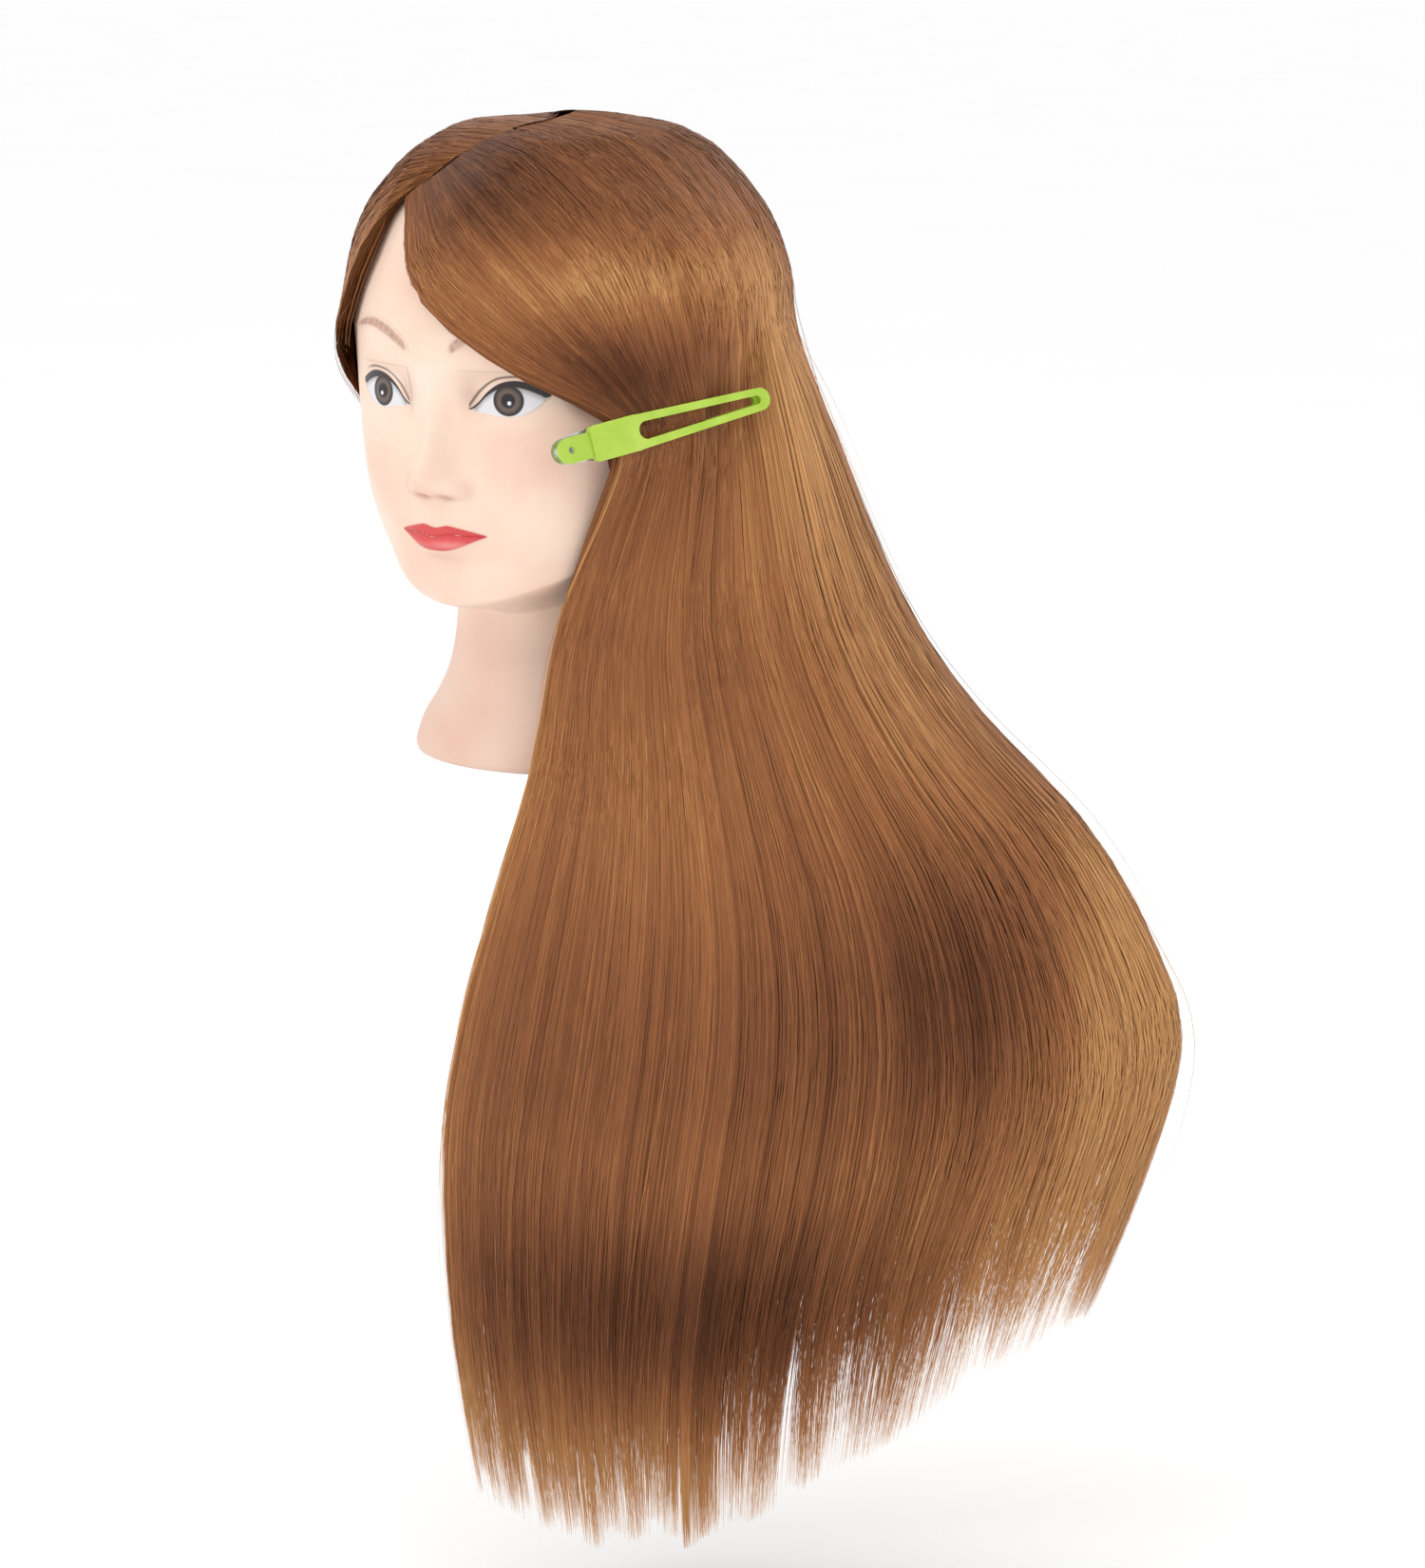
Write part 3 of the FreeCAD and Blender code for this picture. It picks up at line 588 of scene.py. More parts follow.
def make_head(skin):
    """Skin of the head and neck with the relief of the face, finest over the face."""
    turns = np.concatenate([
        np.linspace(-165.0, -15.0, 230, endpoint=False),
        np.linspace(-15.0, 195.0, 80, endpoint=False),
    ])
    heights = np.concatenate([
        np.linspace(0.0, 3.0, 5, endpoint=False),
        np.linspace(3.0, 56.0, 30, endpoint=False),
        np.linspace(56.0, 128.0, 150, endpoint=False),
        np.linspace(128.0, 168.0, 64, endpoint=False),
        SKULL_CENTRE[2] + CROWN_REACH * np.sin(np.radians(np.linspace(1.0, 89.7, 44))),
    ])
    angle, z = np.meshgrid(np.radians(turns), heights)
    points = head_surface(angle, z)
    columns = len(turns)
    quads = grid_quads(len(heights), columns, closed=True)
    frontness = ramp(-np.sin(angle), 0.3, 0.6)
    blush, shade = [tint * frontness for tint in face_tints(points[..., 0], points[..., 2])]
    # painted shade on the neck, below the jaw
    shade = shade + 0.3 * (1 - soft(points[..., 2], 40.0, 66.0))
    scalp = scalp_cover(points)
    rim = points[0]
    inner = rim.copy()
    shrink = 1 - RIM_WIDTH / NECK[0][1]
    inner[:, 0] *= shrink
    inner[:, 1] = RIM_MIDDLE + (rim[:, 1] - RIM_MIDDLE) * shrink
    inside = inner + np.array([0.0, 0.0, RIM_HEIGHT])
    count = points.size // 3
    flat = np.concatenate([points.reshape(-1, 3), inner, inside])
    i = np.arange(columns)
    j = (i + 1) % columns
    quads = np.concatenate([
        quads,
        np.stack([j, i, count + i, count + j], -1),
        np.stack([count + j, count + i, count + columns + i, count + columns + j], -1),
    ])
    extra = np.zeros(2 * columns)
    blush, shade, scalp = [np.concatenate([values.ravel(), extra]) for values in (blush, shade, scalp)]
    head = mesh_piece("head_vinyl", flat, quads, skin, slot="skin", blush=blush, shade=shade, scalp=scalp)
    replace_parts(head, "head_skin")


def paint_patch(name, side, start, stop, bottom, top, step, masks, material):
    """A film of paint on the face, cut to where its masks are; masks gives them at places on the face."""
    across = np.arange(start, stop + step / 2, step)
    heights = np.arange(bottom, top + step / 2, step)
    x, z = np.meshgrid(across * side, heights)
    points = face_point(x, z)
    normal = unit(np.cross(np.gradient(points, axis=1), np.gradient(points, axis=0)) * side)
    values = masks(np.abs(x) if start >= 0 else x, z)
    blush, shade = face_tints(x, z)
    used = sum(values[key] for key in values if key != "radius") > 0.002
    quads = grid_quads(len(heights), len(across))
    quads = quads[used.ravel()[quads].any(1)]
    kept, quads = np.unique(quads, return_inverse=True)
    quads = quads.reshape(-1, 4) if side > 0 else quads.reshape(-1, 4)[:, ::-1]
    values = {key: value.ravel()[kept] for key, value in values.items()}
    lifted = (points + normal * PAINT_THICKNESS).reshape(-1, 3)[kept]
    mesh_piece(name, lifted, quads, material, slot="skin", blush=blush.ravel()[kept],
               shade=shade.ravel()[kept], **values)


def eye_masks(x, z):
    lid, under, over, crease = smooth_table(x, EYE)
    ends = soft(x, 13.2, 13.9) * (1 - soft(x, 42.8, 43.4))
    crease_width = 0.45 + 0.5 * (1 - soft(x, 13.0, 24.0))
    open_eye = soft(z, lid - 0.15, lid + 0.25) * (1 - soft(z, under, under + 0.5))
    open_eye *= soft(x, 15.0, 16.2) * (1 - soft(x, 41.0, 42.0))
    away = np.hypot(x - IRIS_ACROSS, z - IRIS_HEIGHT)
    return {
        "white": open_eye,
        "iris": open_eye * (1 - soft(away, IRIS_RADIUS - 0.25, IRIS_RADIUS + 0.2)),
        "radius": away / IRIS_RADIUS,
        "glint": 1 - soft(np.hypot(x - IRIS_ACROSS - 0.5, z - IRIS_HEIGHT + 0.9), 0.45, 0.95),
        "liner": soft(z, under - 0.25, under + 0.3) * (1 - soft(z, over - 0.2, over + 0.35)) * ends
                 + 0.30 * np.exp(-((z - lid) / 0.35) ** 2) * ramp(x, 30.0, 40.0) * ends,
        "crease": np.exp(-((z - crease) / crease_width) ** 2) * ends * (1 - soft(x, 34.0, 42.0)),
        "lid_shadow": 0.55 * soft(z, under - 2.6, under) + 0.25 * (1 - soft(x, 15.5, 19.0)),
    }


def lip_masks(x, z):
    top, line, bottom = lip_edges(x)
    inside = soft(z, bottom - 0.3, bottom + 0.3) * (1 - soft(z, top - 0.3, top + 0.3))
    inside = inside * (1 - soft(np.abs(x), MOUTH_HALF_WIDTH - 1.2, MOUTH_HALF_WIDTH))
    fold = np.exp(-((z - line) / 0.5) ** 2)
    # painted highlight on the lower lip, and painted shade along the closed line between the lips
    sheen = 0.28 + 0.5 * bump(x - 8.0, z - 89.8, 7.0, 1.8) + 0.2 * bump(x + 2.0, z - 90.0, 9.0, 1.6)
    return {"lip": inside, "pale": inside * np.clip(sheen - 0.28 * fold, 0, 1)}


def brow_masks(x, z):
    middle, half = smooth_table(x, BROW)
    across = soft(x, 8.6, 11.5) * (1 - soft(x, 38.0, 45.0))
    return {"brow": (1 - soft(np.abs(z - middle), half * 0.45, half + 0.7)) * across * 0.9}


def make_paint():
    eye, brow = eye_material(), brow_material()
    for word, side in (("left", 1), ("right", -1)):
        paint_patch("eye_paint_" + word, side, 12.6, 44.0, 136.8, 154.4, 0.16, eye_masks, eye)
        paint_patch("brow_paint_" + word, side, 8.0, 45.6, 158.6, 173.4, 0.3, brow_masks, brow)
    paint_patch("lip_paint", 1, -20.4, 20.4, 86.4, 98.0, 0.16, lip_masks, lip_material())


# ================================================================ hair surfaces
FAN_TURN = math.radians(34.0)
HAIR_ON_HEAD = 7.5
UNDER_ON_HEAD = 5.0
HAIR_HANGING = 9.0
FRINGE_HANGING = 5.5
UNDER_HANGING = 5.0
ROOT_THICKNESS = 1.2
HAIR_EDGE = 0.45
SCALP_GAP = 1.6
PARTING_GAP = 1.0
CHEEK_TAPER = 0.15
CURTAIN_TOP = 60.0
LEAVING_SHARE = 0.35    # where a guide's extra point lies between the head and the curtain's top
LEAVING_ROW = 5
# how far the guides beside the join stand off, so that it doesn't fold: down the head, then where it hangs
JOIN_SPREADS, JOIN_HANGING_SPREAD = [0.15, 0.45, 1.0, 1.0, 1.0], 0.15
LOCK_THICKNESS = 2.0
LOCK_TOP = 0.1
LOCK_RUN = 8.0
CLIP_TAIL = np.array([58.4, -92.8, 127.9])
CLIP_HEADING, CLIP_RISE, CLIP_LEAN = 67.6, 9.0, 12.0
CLIP_LENGTH, JAW_START, JAW_HALF_WIDTH = 93.0, 15.0, 6.6
HELD_SWELL, HELD_SLOPE = 0.25, 0.7      # rise of the held hair under the jaw and beside it
FALL_SHARES = [0.0, 0.15, 0.3, 0.45, 0.6, 0.8, 1.0]
FRINGE = [
    ([(111, 34), (91, 11), (69, -5)], 26.5, 1, 0.00, -306.0),
    ([(103, 42), (79, 26), (58, 6)], 38.0, 1, 0.10, -316.0),
    ([(98, 55), (66, 42), (44, 18)], 50.0, 1, 0.22, -318.0),
    ([(88, 64), (53, 50), (30, 24)], 62.0, 1, 0.36, -317.0),
]
UNDER_FRINGE = [
    ([(44, -24), (41, -31), (38, -38)], None, 1, 0.00, -290.0),
    ([(38, -18), (35, -26), (32, -34)], None, 1, 0.10, -300.0),
    ([(32, -12), (30, -21), (28, -30)], None, 1, 0.22, -300.0),
    ([(27, -7), (25, -15), (22, -24)], None, 1, 0.345, -295.0),
]
REST = [
    ([(85, 65), (49, 51), (26, 29), (17, 8), (14, -26)], None, 1, 0.37, -316.0),
    ([(66, 72), (28, 54), (14, 30), (8, 8), (5, -24)], None, 1, 0.53, -300.0),
    ([(46, 78), (4, 54), (-3, 30), (-6, 12), (-7, -3)], None, 1, 0.76, -268.0),
    ([(31, 81), (-25, 54), (-27, 30), (-28, 12), (-29, -2)], None, 1, 1.00, -240.0),
    ([(17, 83), (-55, 54), (-52, 30), (-52, 12), (-52, -2)], None, -1, 0.78, -262.0),
    ([(17, 85), (-85, 54), (-78, 30), (-76, 12), (-76, -2)], None, -1, 0.56, -285.0),
    ([(66, 83), (-122, 56), (-108, 32), (-102, 12), (-100, -4)], None, -1, 0.40, -300.0),
    ([(70, 74), (-165, 60), (-142, 36), (-131, 12), (-126, -8)], None, -1, 0.27, -300.0),
    ([(90, 66), (150, 58), (178, 38), (-160, 14), (-148, -12)], None, -1, 0.17, -305.0),
    ([(103, 51), (126, 44), (146, 26), (170, 6), (-168, -14)], None, -1, 0.08, -305.0),
    ([(113, 34), (114, 22), (119, 8), (130, -6), (160, -22)], None, -1, 0.00, -300.0),
]
# height, near free edge, far end, far layer's free edge: places along the fan's plane
CURTAIN = [
    [-320.0, -38.0, 184.0, -28.0],
    [-260.0, -47.0, 196.0, -36.0],
    [-230.0, -50.5, 206.0, -40.0],
    [-200.0, -53.0, 216.0, -42.0],
    [-175.0, -53.0, 227.0, -42.0],
    [-150.0, -51.5, 236.0, -41.0],
    [-125.0, -48.0, 240.0, -38.0],
    [-100.0, -43.0, 236.0, -32.0],
    [-75.0, -36.5, 225.0, -26.0],
    [-50.0, -29.5, 211.5, -19.0],
    [-25.0, -22.0, 194.5, -12.0],
    [0.0, -14.5, 168.0, -7.0],
    [30.0, -9.0, 143.5, -14.0],
    [60.0, -3.0, 126.0, -22.0],
]
# height, half depth of the curtain, share of it at the free edges
CURTAIN_DEPTH = [
    [-320.0, 50.0, 0.24],
    [-150.0, 68.0, 0.30],
    [-60.0, 80.0, 0.62],
    [0.0, 88.0, 0.82],
    [60.0, 86.0, 0.82],
]
FRINGE_NODES = ["fringe_front", "fringe_middle", "fringe_rear"]
UNDER_NODES = ["temple_left", "side_left_front", "side_left_rear"]
REST_NODES = ["top_left", "crown_left", "crown_rear_left", "back_left", "back_middle", "back_right",
              "crown_rear_right", "crown_right", "side_right", "temple_right"]


def girth(height, out):
    """The head's size round at a height, as a share of its widest."""
    level = (height - SKULL_CENTRE[2]) / (SKULL_RADII[2] + out)
    return np.where(level > 0, np.sqrt(np.maximum(1.0 - level * level, 0.0)),
                    1.0 - CHEEK_TAPER * level * level)


def on_head(turn, rise, out):
    """Point out from the scalp: degrees round from +X towards the face, and degrees up."""
    turn, rise = math.radians(turn), math.radians(rise)
    x, y, height = SKULL_RADII + out
    spoke = math.hypot(math.cos(turn) / x, math.sin(turn) / y)
    level = math.tan(rise) / spoke / height
    climb = level / math.hypot(1.0, level) if rise > 0 else level
    across = float(girth(SKULL_CENTRE[2] + height * climb, out)) / spoke
    return SKULL_CENTRE + np.array([across * math.cos(turn), -across * math.sin(turn), height * climb])


def on_curtain(side, across, height):
    """Point on the hanging curtain of hair."""
    near_edge, far_end, back_edge = straight_table(height, CURTAIN)
    half_depth, edge_share = straight_table(height, CURTAIN_DEPTH)
    edge = near_edge if side > 0 else back_edge
    along = edge + (far_end - edge) * across
    swell = edge_share + (1.0 - edge_share) * min(across / 0.35, 1.0) ** 0.7
    depth = side * half_depth * swell * math.sqrt(max(1.0 - across ** 2.2, 0.0))
    return np.array([along * math.cos(FAN_TURN) + depth * math.sin(FAN_TURN),
                     along * math.sin(FAN_TURN) - depth * math.cos(FAN_TURN), height])


def clip_axes():
    """The clip's directions: tail to nose, across its face, and out of its face."""
    h, r, lean = math.radians(CLIP_HEADING), math.radians(CLIP_RISE), math.radians(90.0 - CLIP_LEAN)
    turn = np.array([[math.cos(h), -math.sin(h), 0], [math.sin(h), math.cos(h), 0], [0, 0, 1]])
    rise = np.array([[math.cos(r), 0, -math.sin(r)], [0, 1, 0], [math.sin(r), 0, math.cos(r)]])
    tip = np.array([[1, 0, 0], [0, math.cos(lean), -math.sin(lean)], [0, math.sin(lean), math.cos(lean)]])
    return (turn @ rise @ tip).T


CLIP_AXES = clip_axes()


def in_clip(along, across, out):
    """A place in the clip's directions."""
    return CLIP_TAIL + np.array([along, across, out]) @ CLIP_AXES


def held_by_clip(points):
    """The points, kept under the clip's upper jaw where they would come through it."""
    along, across, out = np.moveaxis((points - CLIP_TAIL) @ CLIP_AXES.T, -1, 0)
    beside = np.maximum(np.abs(across) - JAW_HALF_WIDTH, 0.0)
    beside = beside + np.maximum(along - CLIP_LENGTH, 0.0) + np.maximum(JAW_START - along, 0.0)
    limit = LOCK_TOP + HELD_SWELL * ramp(out, 0.0, 6.0) + HELD_SLOPE * beside
    return CLIP_TAIL + np.stack([along, across, np.minimum(out, limit)], -1) @ CLIP_AXES


def guide_points(guide):
    directions, clip_place, side, across, tip = guide
    combed = UNDER_ON_HEAD if guide in UNDER_FRINGE else HAIR_ON_HEAD
    points = [on_head(turn, rise, combed if index else SCALP_GAP + ROOT_THICKNESS)
              for index, (turn, rise) in enumerate(directions)]
    if clip_place is not None:
        points.append(in_clip(clip_place, LOCK_RUN, LOCK_TOP))
        points.append(in_clip(clip_place, -LOCK_RUN, LOCK_TOP))
    hanging = [on_curtain(side, across, CURTAIN_TOP + (tip - CURTAIN_TOP) * share) for share in FALL_SHARES]
    if guide in REST:
        points.append(points[-1] + (hanging[0] - points[-1]) * LEAVING_SHARE)
    return np.array(points + hanging)


def spline_weights(places, count):
    """Catmull-Rom weights that read a row of so many points at several places."""
    weights = np.zeros((len(places), count))
    for row, place in zip(weights, places):
        index = min(max(int(place), 0), count - 2)
        t = place - index
        for offset, w in ((-1, 2 * t * t - t - t ** 3), (0, 2 - 5 * t * t + 3 * t ** 3),
                          (1, t + 4 * t * t - 3 * t ** 3), (2, t ** 3 - t * t)):
            row[min(max(index + offset, 0), count - 1)] += 0.5 * w
    return weights


COLUMN_STEP = 0.02
ROW_STEP = 0.1
BEYOND = 0.5          # columns worked out past each edge of a layer
BEFORE = 0.1          # rows worked out before the roots


class Layer:
    """A layer of hair as a fine grid of its outside, with its outward direction and its thickness."""

    def __init__(self, lines, depths):
        self.last_column, self.last_row = lines.shape[0] - 1, lines.shape[1] - 1
        self.columns = np.arange(-BEYOND, self.last_column + BEYOND + COLUMN_STEP / 2, COLUMN_STEP)
        self.rows = np.arange(-BEFORE, self.last_row + ROW_STEP / 2, ROW_STEP)
        across = spline_weights(self.columns, lines.shape[0])
        down = spline_weights(self.rows, lines.shape[1])
        grid = np.einsum("cg,gpk,rp->crk", across, lines, down)
        right, below = np.gradient(grid, axis=0), np.gradient(grid, axis=1)
        c, r = np.meshgrid(self.columns, self.rows, indexing="ij")
        self.grid, self.outward = grid, unit(-np.cross(right, below))
        self.outer, self.inner = depths(c, r)

    def read(self, columns, rows):
        """Outside point, outward direction, outer depth and inner depth at places in the layer."""
        c = (np.clip(columns, -BEYOND, self.last_column + BEYOND) + BEYOND) / COLUMN_STEP
        r = (np.clip(rows, -BEFORE, self.last_row) + BEFORE) / ROW_STEP
        i = np.minimum(c.astype(int), len(self.columns) - 2)
        j = np.minimum(r.astype(int), len(self.rows) - 2)
        u, v = c - i, r - j
        result = []
        for values in (self.grid, self.outward, self.outer, self.inner):
            p, q = (u[..., None], v[..., None]) if values.ndim == 3 else (u, v)
            result.append(values[i, j] * (1 - p) * (1 - q) + values[i + 1, j] * p * (1 - q)
                          + values[i, j + 1] * (1 - p) * q + values[i + 1, j + 1] * p * q)
        return result


# outer and inner depth below a layer's surface, at columns and rows
def fringe_depths(c, r):
    combed = ROOT_THICKNESS + (HAIR_ON_HEAD - SCALP_GAP - ROOT_THICKNESS) * ramp(r, 0, 1)
    held = combed + (LOCK_THICKNESS - combed) * soft(r, 1.8, 3.0)
    edge = HAIR_EDGE + (1 - HAIR_EDGE) * ramp(c, 0, 2)
    outer = 0.55 * soft(r, 2.2, 2.8) * (1 - soft(r, 4.3, 4.9))
    return outer, held + (FRINGE_HANGING * edge - held) * soft(r, 4.0, 6.0)


def under_depths(c, r):
    edge = HAIR_EDGE + (1 - HAIR_EDGE) * ramp(c, 0, 2)
    outer = (FRINGE_HANGING * edge + PARTING_GAP) * ramp(r, 2, 3)
    return outer, outer + ROOT_THICKNESS + (UNDER_HANGING * edge - ROOT_THICKNESS) * ramp(r, 1, 4)


def rest_depths(c, r):
    combed = ROOT_THICKNESS + (HAIR_ON_HEAD - SCALP_GAP - ROOT_THICKNESS) * ramp(r, 0, 1)
    edge = HAIR_EDGE + (1 - HAIR_EDGE) * ramp(len(REST) - 1 - c, 0, 2)
    return 0 * r, combed + (HAIR_HANGING * edge - combed) * ramp(r, 4, 6)


def join_depths(_, r):
    return 0.1 - 0.5 * soft(r, 4.6, 5.6), 3.6 + 0 * r


def clear_of_head(points, gap):
    """The points, moved out where they are nearer the head than a gap."""
    offset = points - SKULL_CENTRE
    flat = np.hypot(offset[..., 0] / (SKULL_RADII[0] + gap), offset[..., 1] / (SKULL_RADII[1] + gap))
    full = np.hypot(flat, offset[..., 2] / (SKULL_RADII[2] + gap))
    share = girth(points[..., 2], gap)
    high = offset[..., 2] > 0
    scale = np.where(high & (full < 1.0), 1.0 / np.maximum(full, 1e-3), 1.0)
    beside = ~high & (flat < share) & (points[..., 2] >= CURTAIN_TOP)
    side = np.where(beside, share / np.maximum(flat, 1e-3), 1.0)
    moved = offset * scale[..., None]
    moved[..., :2] *= side[..., None]
    return SKULL_CENTRE + moved


# ================================================================ strands
rng = np.random.default_rng(20)
ROUNDNESS = 0.35          # how far a ribbon's shading turns from its middle to its edges
ROOT_RUN = 0.12           # share of a strand over which it widens from its root
TIP_SHARE, TIP_CURVE = 0.07, 1.3
CLUMPS, JOIN_CLUMPS = 6, 3
STRAND_STEPS, STRAY_STEPS = 28, 22
CLEAR_OF_SKIN = 0.5
# painted highlights and painted shade on the hair: how much lighter a patch of the hair is, its place along
# the fan's plane, its height, and its half sizes
HANGING_LIGHT_AND_SHADE = [
    (0.20, 35.0, -10.0, 60.0, 60.0),
    (-0.38, 155.0, -80.0, 45.0, 60.0),
    (0.12, 60.0, -160.0, 110.0, 24.0),
    (-0.36, 65.0, -224.0, 130.0, 36.0),
    (0.30, 50.0, -305.0, 120.0, 30.0),
]
HEAD_LIGHT_AND_SHADE = [
    (0.42, 15.0, 187.0, 55.0, 15.0),
    (-0.34, 22.0, 152.0, 26.0, 16.0),
    (-0.20, -30.0, 224.0, 30.0, 20.0),
    (0.18, 75.0, 150.0, 30.0, 70.0),
    (0.14, 40.0, 72.0, 40.0, 35.0),
]


def strand_mesh(lines, outward, half_width, roll, taper_start, root_share):
    """Thin ribbons along lines of points, pointed at the tip and shaded as if they were round."""
    count, steps = lines.shape[:2]
    along = unit(np.gradient(lines, axis=1))
    side = unit(np.cross(along, outward))
    up = np.cross(side, along)
    turn = roll[:, None, None]
    s = np.linspace(0, 1, steps)[None, :]
    shape = root_share + (1 - root_share) * ramp(s, 0, ROOT_RUN)
    shape = shape * (1 - ramp(s, taper_start[:, None], 1.0) ** TIP_CURVE * (1 - TIP_SHARE))
    across = (side * np.cos(turn) + up * np.sin(turn)) * (half_width[:, None] * shape)[..., None]
    ribbon = np.stack([lines - across, lines + across], 2)
    normals = np.stack([up * np.cos(turn + bend) - side * np.sin(turn + bend)
                        for bend in (ROUNDNESS, -ROUNDNESS)], 2)
    index = np.arange(count * steps * 2).reshape(count, steps, 2)
    quads = np.stack([index[:, :-1, 0], index[:, :-1, 1], index[:, 1:, 1], index[:, 1:, 0]], -1)
    return ribbon.reshape(-1, 3), normals.reshape(-1, 3), quads.reshape(-1, 4)


def strand_lines(layer, strands, steps):
    """Points and outward directions along strands; depth 0 is the layer's outside and 1 its inside."""
    s = np.linspace(0, 1, steps)[None, :]
    start, stop = strands["start"][:, None], strands["stop"][:, None]
    count = len(strands["column"])
    rows = start + (stop - start) * s
    phase = rng.uniform(0, 2 * math.pi, (2, count, 1))
    rate = rng.uniform(0.35, 1.3, (2, count, 1))
    waves = np.sin(rows * rate[0] + phase[0]) + 0.6 * np.sin(rows * rate[1] * 2 + phase[1])
    c = strands["column"][:, None] + strands["wander"][:, None] * waves * ramp(rows, 0.2, 3.0)
    gather = soft(rows, layer.last_row - 2.0, layer.last_row + 0.4) * strands["pull"][:, None]
    c = c + (strands["clump"][:, None] - c) * gather
    c = c + strands["fray"][:, None] * soft(rows, layer.last_row - 2.2, layer.last_row + 0.2)
    points, outward, outer, inner = layer.read(c, rows)
    inside = 1 - soft(rows - start, 0.0, 0.45)
    share = strands["depth"][:, None] * (1 - inside) + 0.6 * inside
    share = share + (0.5 - share) * gather * 0.5
    place = outer + (inner - outer) * share - strands["proud"][:, None] * soft(s, 0.0, 1.0)
    points = points - outward * place[..., None]
    return points, shaded_outward(points, outward), rows, c


def shaded_outward(points, outward):
    """Outward directions for the shading: those of one smooth head where the hair lies on it."""
    offset = points - SKULL_CENTRE
    radial = offset / SKULL_RADII ** 2
    radial /= np.linalg.norm(radial, axis=-1, keepdims=True)
    away = np.linalg.norm(offset / SKULL_RADII, axis=-1)
    weight = (soft(points[..., 2], 95.0, 165.0) * (1 - soft(away, 1.2, 1.45)))[..., None]
    return unit(outward * (1 - weight) + radial * weight)


def tones(layer_name, lines, rows, c, base):
    """Lightness of the hair along strands: 0 dark brown, 1 gold; painted highlights and painted shade are
    laid on the strands' own tones.
    """
    along = lines[..., 0] * math.cos(FAN_TURN) + lines[..., 1] * math.sin(FAN_TURN)
    height = lines[..., 2]
    hanging = 1 - soft(height, 30.0, 70.0)
    near = soft(lines[..., 0] * math.sin(FAN_TURN) - lines[..., 1] * math.cos(FAN_TURN), -20.0, 20.0)
    tone = base[:, None] + 0 * rows
    # painted light at the far edge of the hanging hair, as if light came through it
    painted_backlight = 0.5 * ramp(along, 180.0, 235.0)
    tone = tone + (bumps(HANGING_LIGHT_AND_SHADE, along, height) + painted_backlight) * hanging * near
    tone = tone + bumps(HEAD_LIGHT_AND_SHADE, along, height) * (1 - hanging) * near
    if layer_name == "fringe":
        tone = tone + 0.14 * ramp(rows, 4.0, 6.0) * (1 - ramp(c, 0.0, 0.35)) + 0.12 * (1 - ramp(c, 0.0, 0.8))
    if layer_name == "rest":
        # painted rim light along the outline of the hair behind
        painted_rim_light = np.exp(-((c - 2.6) / 1.1) ** 2)
        tone = tone + 0.34 * painted_rim_light * ramp(rows, 1.5, 5.0)
        # painted highlight at the roots beside the parting; lighter towards the last locks
        tone = tone + 0.14 * (1 - ramp(rows, 0.0, 0.8)) + 0.22 * ramp(c, 7.0, 10.0)
    # painted shade: the layer under the fringe is darker
    if layer_name == "under":
        tone = tone - 0.1
    tip = soft(rows - rows[:, -1:], -1.3, 0.0)
    return tone + 0.42 * tip * (1 - soft(height, -120.0, -60.0))


